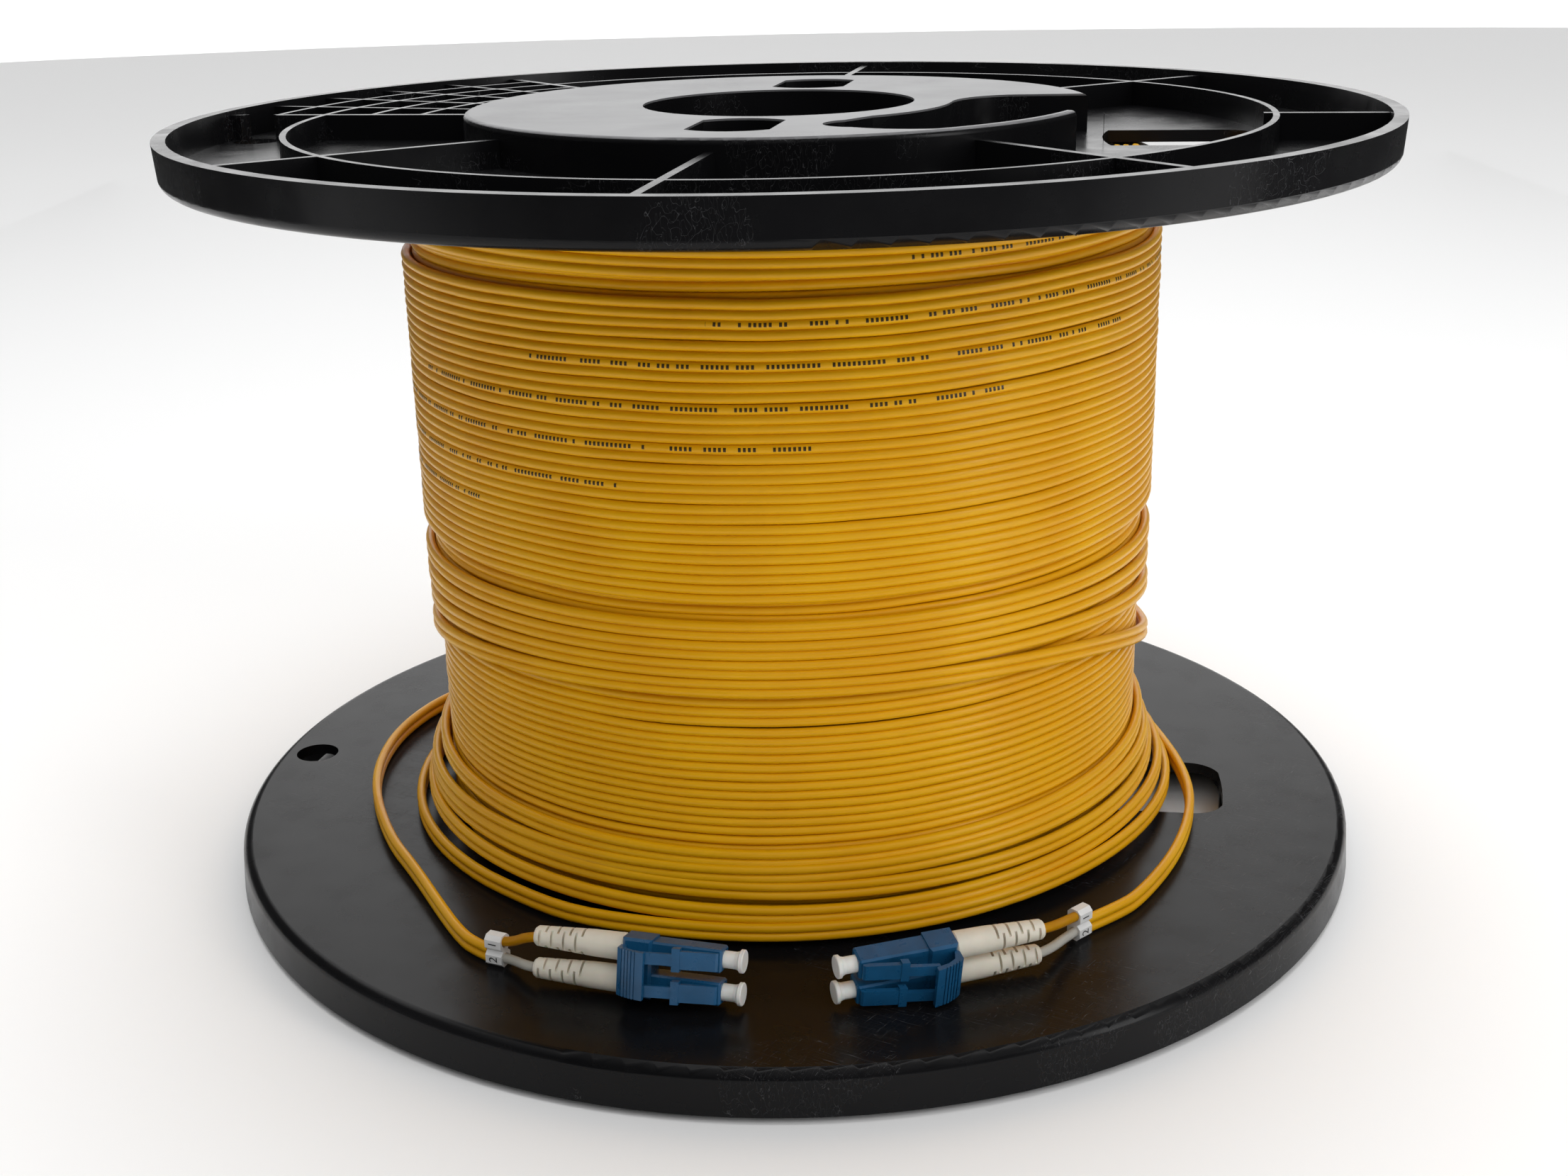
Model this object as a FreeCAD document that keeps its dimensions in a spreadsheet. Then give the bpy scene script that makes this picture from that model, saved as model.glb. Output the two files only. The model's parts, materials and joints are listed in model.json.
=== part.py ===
"""Cable reel with a wound duplex fibre cord, as a parametric document (millimetres, +Z up).

The reel stands on its lower hub boss, with the origin at the centre of that face and its axis
along +Z. The two connector ends of the cord lie on the lower flange, on the -Y side.
"""
import FreeCAD, Part
import math
import os

import Sketcher

DOCUMENT = FreeCAD.newDocument("cable_reel")
VECTOR = FreeCAD.Vector
AXIS_X = VECTOR(1, 0, 0)
AXIS_Z = VECTOR(0, 0, 1)
ORIGIN = VECTOR(0, 0, 0)

DIMENSIONS = {
    # reel
    "flange_radius": 127.0,
    "traverse": 144.0,
    "web_thick": 2.5,
    "rim_height": 8.8,
    "rim_wall": 2.8,
    "rim_draft": 0.6,
    "rim_round": 2.2,
    "rib_height": 7.9,
    "rib_wall": 1.7,
    "ring_radius": 102.0,
    "boss_radius": 65.8,
    "boss_height": 10.3,
    "boss_round": 1.2,
    "bore_radius": 28.575,
    "barrel_radius": 64.0,
    "barrel_wall": 3.0,
    "barrel_seat": 1.2,
    "drive_hole_place": 43.3,
    "drive_hole_radius": 11.6,
    "drive_hole_width": 16.4,
    "tie_hole_place": 117.4,
    "tie_hole_radius": 5.0,
    "window_inner": 67.6,
    "window_outer": 99.6,
    "window_width": 27.0,
    # winding
    "leg_diameter": 2.0,
    "full_pack_radius": 78.6,
    "last_layer_radius": 80.6,
    "last_layer_foot": 42.0,
    "base_turns_radius": 87.6,
    "base_turns_height": 17.0,
    # connector end
    "plug_pitch": 6.25,
    "plug_side": 4.4,
    "plug_length": 16.5,
    "plug_bore_radius": 1.7,
    "clip_front": 13.6,
    "clip_length": 5.7,
    "clip_depth": 5.5,
    "clip_height": 11.3,
    "boot_length": 18.3,
    "boot_front_radius": 2.65,
    "boot_tail_radius": 1.95,
    "boot_bore_radius": 1.05,
    "crimp_radius": 1.6,
    "ferrule_radius": 0.625,
    "ferrule_flange_radius": 1.4,
    "cap_stem_radius": 1.62,
    "cap_flange_radius": 2.2,
    "cap_reach": 3.9,
    "cap_depth": 3.5,
    "latch_wall": 0.9,
    "trigger_wall": 1.0,
    "trigger_height": 9.0,
    "marker_side": 3.3,
    "marker_length": 3.6,
}

RIB_COUNT = 8
RIB_START = -101.0            # degrees from +X: the first radial rib
FINE_RIB_STEP = 9.0           # degrees between the fine ribs of the cored sector
FINE_RIB_COUNT = 4
FINE_RIB_START = 133.0
FINE_RING_RADII = (79.5, 91.0, 113.0)
WINDOW_ANGLE = -8.0
TIE_HOLE_ANGLE = 170.6
FINE_RIB_WALL = 1.2
RIB_BITE = 1.5                # how far the ribs run into the boss
RING_DRAFT = 0.2              # taper of the ring rib on each side
CORING_SECTORS = ((13.0, 58.0), (100.0, 168.0), (171.0, 238.0))     # degrees from +X
CORING_PLATE = 2.5            # plate left under the boss's outer face
CORING_WALL = 2.6             # wall left round the bore
CORING_GAP = 2.0              # wall left inside the barrel's seat
CHANNEL_OUTER_WALL = 2.0      # between the start channel and the boss's edge
CHANNEL_INNER_WALL = 8.0      # between the start channel and the bore
LOWER_FLANGE_TURN = -17.0     # degrees: how the lower moulding is turned against the upper one


class Size:
    """A length that comes from the sheet: its value now and the expression that keeps it."""

    def __init__(self, value, text):
        self.value = float(value)
        self.text = text

    def joined(self, sign, other):
        other = as_size(other)
        value = self.value + other.value if sign == "+" else self.value - other.value
        return Size(value, f"({self.text} {sign} {other.text})")

    def __add__(self, other):
        return self.joined("+", other)

    def __sub__(self, other):
        return self.joined("-", other)

    def __mul__(self, factor):
        return Size(self.value * factor, f"({self.text} * {factor})")

    __rmul__ = __mul__

    def __truediv__(self, divisor):
        return Size(self.value / divisor, f"({self.text} / {divisor})")

    def __neg__(self):
        return self * -1


def as_size(value):
    return value if isinstance(value, Size) else Size(value, f"{value} mm")


def number(value):
    return value.value if isinstance(value, Size) else float(value)


def fill_sheet():
    """Write the driving dimensions to the sheet and give each one back as a Size."""
    sheet = DOCUMENT.addObject("Spreadsheet::Sheet", "Sizes")
    sizes = {}
    for row, (alias, value) in enumerate(DIMENSIONS.items(), start=1):
        sheet.set(f"A{row}", alias)
        sheet.set(f"B{row}", str(value))
        sheet.setAlias(f"B{row}", alias)
        sizes[alias] = Size(value, f"Sizes.{alias} * 1 mm")
    DOCUMENT.recompute()
    return sizes


S = fill_sheet()
LOWER_FACE = S["boss_height"]                       # upper face of the lower flange's web
UPPER_FACE = S["boss_height"] + S["traverse"]       # lower face of the upper flange's web


def bind(item, path, value):
    """Bind one property to its sheet expression, or set it if it is a plain number."""
    if isinstance(value, Size):
        item.setExpression(path, value.text)
    else:
        setattr(item, path, value)


# ---------------------------------------------------------------- sketches and features

def pin_point(sketch, geometry, point, x, y):
    """Hold one sketch point at (x, y), measured from the sketch's origin."""
    for kind, value in (("DistanceX", x), ("DistanceY", y)):
        index = sketch.addConstraint(
            Sketcher.Constraint(kind, -1, 1, geometry, point, number(value)))
        if isinstance(value, Size):
            sketch.setExpression(f"Constraints[{index}]", value.text)


def draw_polygon(sketch, corners):
    """A closed outline of straight sides, each corner pinned."""
    first = sketch.GeometryCount
    count = len(corners)
    for index, (x, y) in enumerate(corners):
        next_x, next_y = corners[(index + 1) % count]
        start = VECTOR(number(x), number(y), 0)
        end = VECTOR(number(next_x), number(next_y), 0)
        sketch.addGeometry(Part.LineSegment(start, end), False)
    for index in range(count):
        following = first + (index + 1) % count
        sketch.addConstraint(Sketcher.Constraint("Coincident", first + index, 2, following, 1))
    for index, (x, y) in enumerate(corners):
        pin_point(sketch, first + index, 1, x, y)


def draw_circle(sketch, x, y, radius):
    circle = Part.Circle(VECTOR(number(x), number(y), 0), AXIS_Z, number(radius))
    index = sketch.addGeometry(circle, False)
    pin_point(sketch, index, 3, x, y)
    constraint = sketch.addConstraint(Sketcher.Constraint("Radius", index, number(radius)))
    if isinstance(radius, Size):
        sketch.setExpression(f"Constraints[{constraint}]", radius.text)


def polar(radius, degrees):
    return VECTOR(radius * math.cos(math.radians(degrees)), radius * math.sin(math.radians(degrees)), 0)


def draw_path(sketch, pieces):
    """A closed outline from points: ("line", end) or ("arc", middle, end), from the last end."""
    start = pieces[-1][-1]
    first = sketch.GeometryCount
    for piece in pieces:
        if piece[0] == "line":
            sketch.addGeometry(Part.LineSegment(start, piece[1]), False)
        else:
            sketch.addGeometry(Part.ArcOfCircle(start, piece[1], piece[2]), False)
        start = piece[-1]
    for index in range(first, sketch.GeometryCount):
        sketch.addConstraint(Sketcher.Constraint("Block", index))


def draw_sector(sketch, inner, outer, start, end):
    """A ring sector between two radii and two angles in degrees."""
    middle = (start + end) / 2
    draw_path(sketch, [
        ("line", polar(outer, start)),
        ("arc", polar(outer, middle), polar(outer, end)),
        ("line", polar(inner, end)),
        ("arc", polar(inner, middle), polar(inner, start)),
    ])


def body_sketch(body, role, name):
    """A sketch on one of the body's own origin planes."""
    plane = next(item for item in body.Origin.OriginFeatures if item.Role == role)
    sketch = body.newObject("Sketcher::SketchObject", name)
    sketch.AttachmentSupport = [(plane, "")]
    sketch.MapMode = "FlatFace"
    return sketch


def body_axis(body, role):
    return (next(item for item in body.Origin.OriginFeatures if item.Role == role), [""])


def pad(body, sketch, height, name):
    feature = body.newObject("PartDesign::Pad", name)
    feature.Profile = sketch
    bind(feature, "Length", height)
    return feature


def pocket(body, sketch, name, depth=None, upwards=False):
    """Cut a sketch out of the body, right through unless a depth is given; it must cut something."""
    DOCUMENT.recompute()
    before = body.Shape.Volume
    feature = body.newObject("PartDesign::Pocket", name)
    feature.Profile = sketch
    if depth is None:
        feature.Type = "ThroughAll"
        feature.Midplane = True
    else:
        bind(feature, "Length", depth)
    feature.Reversed = upwards
    DOCUMENT.recompute()
    if body.Shape.Volume > before - 0.01:
        raise ValueError(f"{name} cuts nothing")
    return feature


def polar_pattern(body, feature, count, angle, name):
    pattern = body.newObject("PartDesign::PolarPattern", name)
    pattern.Originals = [feature]
    pattern.Axis = body_axis(body, "Z_Axis")
    pattern.Angle = angle
    pattern.Occurrences = count
    body.Tip = pattern


def round_edges(body, radius, name, wanted):
    """Round the body's edges whose centre and radius the function wanted accepts."""
    DOCUMENT.recompute()
    chosen = []
    for index, edge in enumerate(body.Shape.Edges, start=1):
        if isinstance(edge.Curve, Part.Circle) and wanted(edge):
            chosen.append(f"Edge{index}")
    base = body.Tip
    feature = body.newObject("PartDesign::Fillet", name)
    feature.Base = (base, chosen)
    bind(feature, "Radius", radius)
    body.Tip = feature


# ---------------------------------------------------------------- Part workbench helpers

def sketch_polygon(name, corners):
    sketch = DOCUMENT.addObject("Sketcher::SketchObject", name)
    draw_polygon(sketch, corners)
    return sketch


def turned(name, profile):
    """A solid turned about X from a profile of (x, radius) corners."""
    item = DOCUMENT.addObject("Part::Revolution", name)
    item.Source = sketch_polygon(name + "_profile", profile)
    item.Axis = AXIS_X
    item.Base = ORIGIN
    item.Angle = 360
    item.Solid = True
    return item


def prism(name, corners, height):
    """A profile in the XY plane, extruded both ways along Z."""
    item = DOCUMENT.addObject("Part::Extrusion", name)
    item.Base = sketch_polygon(name + "_profile", corners)
    item.DirMode = "Custom"
    item.Dir = AXIS_Z
    item.Solid = True
    item.Symmetric = True
    bind(item, "LengthFwd", height)
    return item


def block(name, low, size):
    """A box from its low corner and its three sides."""
    item = DOCUMENT.addObject("Part::Box", name)
    for path, value in zip(("Length", "Width", "Height"), size):
        bind(item, path, value)
    item.Placement.Base = VECTOR(*[number(value) for value in low])
    for path, value in zip("xyz", low):
        if isinstance(value, Size):
            item.setExpression(f"Placement.Base.{path}", value.text)
    return item


def tube(name, outer, inner, low, height):
    """A straight ring about Z."""
    whole = DOCUMENT.addObject("Part::Cylinder", name + "_outside")
    hole = DOCUMENT.addObject("Part::Cylinder", name + "_inside")
    for item, radius in ((whole, outer), (hole, inner)):
        bind(item, "Radius", radius)
        bind(item, "Height", height)
        item.setExpression("Placement.Base.z", as_size(low).text)
    return cut(name, whole, hole)


def fuse(name, items):
    item = DOCUMENT.addObject("Part::MultiFuse", name)
    item.Shapes = items
    item.Refine = True
    return item


def cut(name, base, tool):
    item = DOCUMENT.addObject("Part::Cut", name)
    item.Base = base
    item.Tool = tool
    item.Refine = True
    return item


# ---------------------------------------------------------------- reel

def flange_profile(body):
    """Web, rim, ring rib and hub boss as one turned section, ribbed side up."""
    radius, web = S["flange_radius"], S["web_thick"]
    rim_in = radius - S["rim_wall"]
    ring_out = S["ring_radius"] + S["rib_wall"] / 2
    ring_in = S["ring_radius"] - S["rib_wall"] / 2
    sketch = body_sketch(body, "XZ_Plane", "flange_section")
    draw_polygon(sketch, [
        (S["bore_radius"], 0),
        (radius - S["rim_draft"], 0),
        (radius, S["rim_height"]),
        (rim_in, S["rim_height"]),
        (rim_in - S["rim_draft"], web),
        (ring_out, web),
        (ring_out - RING_DRAFT, S["rib_height"]),
        (ring_in + RING_DRAFT, S["rib_height"]),
        (ring_in, web),
        (S["boss_radius"], web),
        (S["boss_radius"], S["boss_height"]),
        (S["bore_radius"], S["boss_height"]),
    ])
    feature = body.newObject("PartDesign::Revolution", "flange_turned")
    feature.Profile = sketch
    feature.ReferenceAxis = (sketch, ["V_Axis"])
    feature.Angle = 360


def flange_ribs(body):
    """Eight radial ribs, and the finer polar grid of ribs that fills one sector."""
    boss, rim = S["boss_radius"] - RIB_BITE, S["flange_radius"] - S["rim_wall"] - S["rim_draft"] / 3
    half = number(S["rib_wall"]) / 2
    along = polar(1, RIB_START)
    across = polar(1, RIB_START + 90)

    def strip(sketch, inner, outer, half_width, direction, sideways):
        near_left = direction * inner + sideways * half_width
        far_left = direction * outer + sideways * half_width
        far_right = direction * outer - sideways * half_width
        near_right = direction * inner - sideways * half_width
        draw_path(sketch, [("line", far_left), ("line", far_right),
                           ("line", near_right), ("line", near_left)])

    sketch = body_sketch(body, "XY_Plane", "rib_outline")
    strip(sketch, number(boss), number(rim), half, along, across)
    rib = pad(body, sketch, S["rib_height"], "rib")
    polar_pattern(body, rib, RIB_COUNT, 360, "ribs")

    fine_half = FINE_RIB_WALL / 2
    sketch = body_sketch(body, "XY_Plane", "fine_rib_outline")
    strip(sketch, number(boss), number(rim), fine_half,
          polar(1, FINE_RIB_START), polar(1, FINE_RIB_START + 90))
    fine = pad(body, sketch, S["rib_height"], "fine_rib")
    polar_pattern(body, fine, FINE_RIB_COUNT, FINE_RIB_STEP * (FINE_RIB_COUNT - 1), "fine_ribs")

    sketch = body_sketch(body, "XY_Plane", "fine_ring_outline")
    sector_start = FINE_RIB_START - FINE_RIB_STEP
    sector_end = FINE_RIB_START + FINE_RIB_STEP * FINE_RIB_COUNT
    for radius in FINE_RING_RADII:
        draw_sector(sketch, radius - fine_half, radius + fine_half, sector_start, sector_end)
    pad(body, sketch, S["rib_height"], "fine_rings")


def flange_openings(body):
    """Window for the cord's inner end, tie hole and drive holes, all right through."""
    sketch = body_sketch(body, "XY_Plane", "window_outline")
    half = number(S["window_width"]) / 2
    inner, outer = number(S["window_inner"]), number(S["window_outer"])
    corner = 5.0
    along = polar(1, WINDOW_ANGLE)
    across = polar(1, WINDOW_ANGLE + 90)

    def place(distance, side):
        return along * distance + across * side

    reach = math.sqrt(outer ** 2 - (half - corner) ** 2)
    shoulder = math.sqrt((outer - corner) ** 2 - half ** 2) * 0.98
    draw_path(sketch, [
        ("line", place(shoulder, -half)),
        ("arc", place((shoulder + reach) / 2 + 1.6, -half + corner * 0.36), place(reach, corner - half)),
        ("arc", place(outer, 0), place(reach, half - corner)),
        ("arc", place((shoulder + reach) / 2 + 1.6, half - corner * 0.36), place(shoulder, half)),
        ("line", place(inner + 1.5, half)),
        ("arc", place(inner, 0), place(inner + 1.5, -half)),
    ])
    pocket(body, sketch, "window")

    sketch = body_sketch(body, "XY_Plane", "tie_hole_outline")
    spot = polar(number(S["tie_hole_place"]), TIE_HOLE_ANGLE)
    draw_circle(sketch, spot.x, spot.y, S["tie_hole_radius"])
    pocket(body, sketch, "tie_hole")

    sketch = body_sketch(body, "XY_Plane", "drive_hole_outline")
    half = number(S["drive_hole_width"]) / 2
    radius = number(S["drive_hole_radius"])
    flat = math.sqrt(radius ** 2 - half ** 2)
    for angle in (RIB_START, RIB_START + 180):
        along = polar(1, angle)
        across = polar(1, angle + 90)
        centre = along * number(S["drive_hole_place"])
        draw_path(sketch, [
            ("line", centre + along * flat + across * half),
            ("arc", centre + along * radius, centre + along * flat - across * half),
            ("line", centre - along * flat - across * half),
            ("arc", centre - along * radius, centre - along * flat + across * half),
        ])
    pocket(body, sketch, "drive_holes")


def flange_start_channel(body):
    """The comma-shaped channel in the boss, open at the rim side, that stores the inner end."""
    plane = body_sketch(body, "XY_Plane", "channel_outline")
    plane.AttachmentOffset = FreeCAD.Placement(VECTOR(0, 0, number(S["boss_height"])), FreeCAD.Rotation())
    plane.setExpression("AttachmentOffset.Base.z", S["boss_height"].text)
    outer_wall = number(S["boss_radius"]) - CHANNEL_OUTER_WALL
    inner_wall = number(S["bore_radius"]) + CHANNEL_INNER_WALL
    past_boss = number(S["boss_radius"]) + CHANNEL_OUTER_WALL
    tip_start, tip_end = VECTOR(13.4, -51.3, 0), VECTOR(12.6, -38.4, 0)
    draw_path(plane, [
        ("arc", VECTOR(20.5, -55.6, 0), polar(outer_wall, -63.0)),
        ("arc", polar(outer_wall, -45.0), polar(outer_wall, -27.5)),
        ("line", polar(past_boss, -27.5)),
        ("arc", polar(past_boss, -12.0), VECTOR(past_boss, 3.2, 0)),
        ("line", VECTOR(49.0, 4.9, 0)),
        ("arc", VECTOR(41.3, 1.7, 0), polar(inner_wall, -12.0)),
        ("arc", polar(inner_wall, -36.0), polar(inner_wall, -60.0)),
        ("line", tip_end),
        ("arc", VECTOR(8.2, -44.4, 0), tip_start),
    ])
    pocket(body, plane, "start_channel", depth=S["boss_height"] - S["web_thick"])


def flange_coring(body):
    """Hollow the boss from the inside and cut the seat of the barrel."""
    inner = number(S["bore_radius"]) + CORING_WALL
    outer = number(S["barrel_radius"]) - number(S["barrel_wall"]) - CORING_GAP
    sketch = body_sketch(body, "XY_Plane", "coring_outline")
    for start, end in CORING_SECTORS:
        draw_sector(sketch, inner, outer, start, end)
    pocket(body, sketch, "coring", depth=S["boss_height"] - CORING_PLATE, upwards=True)

    sketch = body_sketch(body, "XY_Plane", "barrel_seat_outline")
    draw_circle(sketch, 0, 0, S["barrel_radius"])
    draw_circle(sketch, 0, 0, S["barrel_radius"] - S["barrel_wall"])
    pocket(body, sketch, "barrel_seat", depth=S["barrel_seat"], upwards=True)


def make_flange(name):
    """One moulded flange, its inner face at z = 0 and its ribbed side up."""
    body = DOCUMENT.addObject("PartDesign::Body", name)
    flange_profile(body)
    low_rim = number(S["flange_radius"] - S["rim_draft"])
    boss = number(S["boss_radius"])
    boss_top = number(S["boss_height"])
    round_edges(body, S["rim_round"], "rim_rounding",
                lambda edge: abs(edge.Curve.Radius - low_rim) < 0.01 and abs(edge.Curve.Center.z) < 0.01)
    round_edges(body, S["boss_round"], "boss_rounding",
                lambda edge: abs(edge.Curve.Radius - boss) < 0.01
                and abs(edge.Curve.Center.z - boss_top) < 0.01)
    flange_ribs(body)
    flange_openings(body)
    flange_start_channel(body)
    flange_coring(body)
    return body


def make_reel():
    upper = make_flange("upper_flange")
    upper.Placement = FreeCAD.Placement(VECTOR(0, 0, number(UPPER_FACE)), FreeCAD.Rotation())
    upper.setExpression("Placement.Base.z", UPPER_FACE.text)

    lower = make_flange("lower_flange")
    flip = FreeCAD.Rotation(AXIS_X, 180)
    turn = FreeCAD.Rotation(AXIS_Z, LOWER_FLANGE_TURN)
    lower.Placement = FreeCAD.Placement(VECTOR(0, 0, number(LOWER_FACE)), turn * flip)
    lower.setExpression("Placement.Base.z", LOWER_FACE.text)

    barrel = tube("barrel", S["barrel_radius"], S["barrel_radius"] - S["barrel_wall"],
                  LOWER_FACE - S["barrel_seat"], S["traverse"] + 2 * S["barrel_seat"])
    return [upper, lower, barrel]


# ---------------------------------------------------------------- winding

def make_base_turns():
    """Outer shape of the loose turns at the foot of the winding."""
    foot, top = LOWER_FACE, LOWER_FACE + S["base_turns_height"]
    item = DOCUMENT.addObject("Part::Revolution", "base_turns")
    sketch = DOCUMENT.addObject("Sketcher::SketchObject", "base_turns_profile")
    sketch.Placement = FreeCAD.Placement(ORIGIN, FreeCAD.Rotation(AXIS_X, 90))
    draw_polygon(sketch, [
        (S["full_pack_radius"], foot),
        (S["base_turns_radius"], foot),
        (S["base_turns_radius"], foot + 4.2),
        (S["full_pack_radius"] + 4.6, foot + 10.0),
        (S["full_pack_radius"] + 2.2, top),
        (S["full_pack_radius"], top),
    ])
    item.Source = sketch
    item.Axis = AXIS_Z
    item.Base = ORIGIN
    item.Angle = 360
    item.Solid = True
    return item


def make_winding():
    pack = tube("inner_pack", S["full_pack_radius"], S["barrel_radius"], LOWER_FACE, S["traverse"])
    last = tube("last_layer", S["last_layer_radius"], S["full_pack_radius"],
                S["last_layer_foot"], UPPER_FACE - S["last_layer_foot"])
    return [pack, last, make_base_turns()]


# ---------------------------------------------------------------- free ends of the cord

# Corners of each free end's route, from where it leaves the winding to its marker sleeves.
LEFT_ROUTE = [(-53.2, 71.6), (-72.0, 59.5), (-88.5, 44.0), (-96.8, 25.0), (-98.8, 5.0), (-96.3, -14.0),
              (-88.6, -36.5), (-80.4, -51.5), (-71.8, -69.2), (-67.4, -77.6), (-63.9, -82.8),
              (-59.9, -85.9)]
RIGHT_ROUTE = [(63.8, 62.3), (77.3, 46.0), (85.4, 28.0), (88.6, 9.0), (90.4, -10.0), (88.8, -28.5),
               (81.2, -50.5), (69.8, -69.5), (63.6, -75.2), (57.2, -79.8)]
ARC_SHARE = 0.45              # each arc is this share of the shorter run beside it


def arc_corner(before, corner, after):
    """The tangent arc at a corner: its start, middle, end, centre and radius."""
    back = before - corner
    ahead = after - corner
    shorter = min(back.Length, ahead.Length)
    back.normalize()
    ahead.normalize()
    turn = math.pi - back.getAngle(ahead)
    trim = ARC_SHARE * shorter
    radius = trim / math.tan(turn / 2)
    bisector = back + ahead
    bisector.normalize()
    centre = corner + bisector * (radius / math.cos(turn / 2))
    return corner + back * trim, centre - bisector * radius, corner + ahead * trim, centre, radius


def ribbon(route, side_shift):
    """The route's runs and arcs as edges, moved sideways by side_shift (left of travel)."""
    points = [VECTOR(x, y, 0) for x, y in route]
    edges = []
    lengths = 0.0
    radii = []

    def shifted(point, heading):
        return point + AXIS_Z.cross(heading) * side_shift

    def heading(start, end):
        direction = end - start
        direction.normalize()
        return direction

    at = points[0]
    for before, corner, after in zip(points, points[1:], points[2:]):
        start, middle, end, centre, radius = arc_corner(before, corner, after)
        inbound = heading(before, corner)
        outbound = heading(corner, after)
        edges.append(Part.LineSegment(shifted(at, inbound), shifted(start, inbound)).toShape())
        inward = heading(middle, centre)
        left = AXIS_Z.cross(inbound).dot(inward) > 0
        move = side_shift if left else -side_shift
        edges.append(Part.Arc(shifted(start, inbound), middle + inward * move, shifted(end, outbound)).toShape())
        lengths += (start - at).Length + radius * inbound.getAngle(outbound)
        radii.append(radius)
        at = end
    outbound = heading(points[-2], points[-1])
    edges.append(Part.LineSegment(shifted(at, outbound), shifted(points[-1], outbound)).toShape())
    lengths += (points[-1] - at).Length
    return edges, lengths, radii


def make_tail(name, route):
    """A free end: the two-leg cord standing on edge on the flange, as one flat ribbon."""
    half = number(S["leg_diameter"]) / 2
    left_side, _, _ = ribbon(route, half)
    right_side, _, _ = ribbon(route, -half)
    _, length, radii = ribbon(route, 0.0)
    ends = [
        Part.LineSegment(left_side[-1].Vertexes[-1].Point, right_side[-1].Vertexes[-1].Point).toShape(),
        Part.LineSegment(left_side[0].Vertexes[0].Point, right_side[0].Vertexes[0].Point).toShape(),
    ]
    outline = Part.Wire(Part.__sortEdges__(left_side + right_side + ends))
    height = 4 * half
    solid = Part.Face(outline).extrude(VECTOR(0, 0, height))
    item = DOCUMENT.addObject("Part::Feature", name)
    item.Shape = solid
    item.Placement.Base = VECTOR(0, 0, number(LOWER_FACE))
    expected = 2 * half * height * length
    print(f"{name}: length {length:.1f} mm, radii", [round(radius, 1) for radius in radii],
          f"volume {solid.Volume:.1f} against {expected:.1f}")
    return item


# ---------------------------------------------------------------- connector ends

# Each connector end's frame: +X along the plugs to their front faces, latches on -Y, leg 1 above
# leg 2 once placed. The right end is turned over (180), so its latches face outwards too.
# Each one is (x, y, height of its middle above the flange, heading, lean, turned over), in degrees.
END_FRAMES = {
    "left": (-13.6, -103.6, 6.35, -16.0, -14.0, 0.0),
    "right": (10.5, -105.1, 6.5, 197.5, -12.0, 180.0),
}


def end_placement(side, leg=None):
    """Placement of a piece of one connector end; leg 1 or 2 moves it to that plug's axis."""
    x, y, height, heading, lean, turned_over = END_FRAMES[side]
    upright = FreeCAD.Rotation(AXIS_Z, heading) * FreeCAD.Rotation(AXIS_X, lean)
    place = VECTOR(x, y, number(LOWER_FACE) + height)
    if leg is not None:
        rise = number(S["plug_pitch"]) / 2
        place += upright.multVec(VECTOR(0, 0, rise if leg == 1 else -rise))
    return FreeCAD.Placement(place, upright * FreeCAD.Rotation(AXIS_X, turned_over))


def make_housing(name):
    """Plug housing: a square nose with the cap's bore in front and the spring's behind."""
    side, length, bore = S["plug_side"], S["plug_length"], S["plug_bore_radius"]
    nose = block(name + "_nose", (-length, -side / 2, -side / 2), (length, side, side))
    edged = DOCUMENT.addObject("Part::Chamfer", name + "_edged")
    DOCUMENT.recompute()
    edged.Base = nose
    edged.Edges = [(index, 0.35, 0.35) for index, edge in enumerate(nose.Shape.Edges, start=1)
                   if abs(edge.CenterOfMass.x) < 0.01 or edge.Length > number(length) - 0.1]
    core = turned(name + "_core", [
        (-length - 1, 0), (-length - 1, bore), (-7.2, bore), (-7.2, 0.72), (-5.2, 0.72),
        (-5.2, bore), (1, bore), (1, 0)])
    return cut(name, edged, core)


def make_latch(name):
    """Latch lever: rooted at the plug's nose, rising to the rear, with two side lugs."""
    wall = number(S["latch_wall"])
    root = -(number(S["plug_side"]) / 2 + 0.15)

    def outer(x):
        return root - wall * 0.75 + (x + 0.6) * 0.205

    front = prism(name + "_front", [
        (-0.5, root), (-0.5, outer(-0.5) + 0.25), (-0.9, outer(-0.9)), (-7.4, outer(-7.4)),
        (-7.4, outer(-7.4) + wall), (-4.0, outer(-4.0) + wall), (-1.7, root)], 3.4)
    lugs = prism(name + "_lugs", [
        (-7.4, outer(-7.4) - 0.1), (-8.9, outer(-8.9) - 0.1), (-8.9, outer(-8.9) + wall + 0.25),
        (-7.4, outer(-7.4) + wall + 0.25)], 4.4)
    rear = prism(name + "_rear", [
        (-7.4, outer(-7.4)), (-14.6, outer(-14.6)), (-14.6, outer(-14.6) + wall * 0.85),
        (-7.4, outer(-7.4) + wall)], 2.2)
    return fuse(name, [front, lugs, rear])


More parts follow.
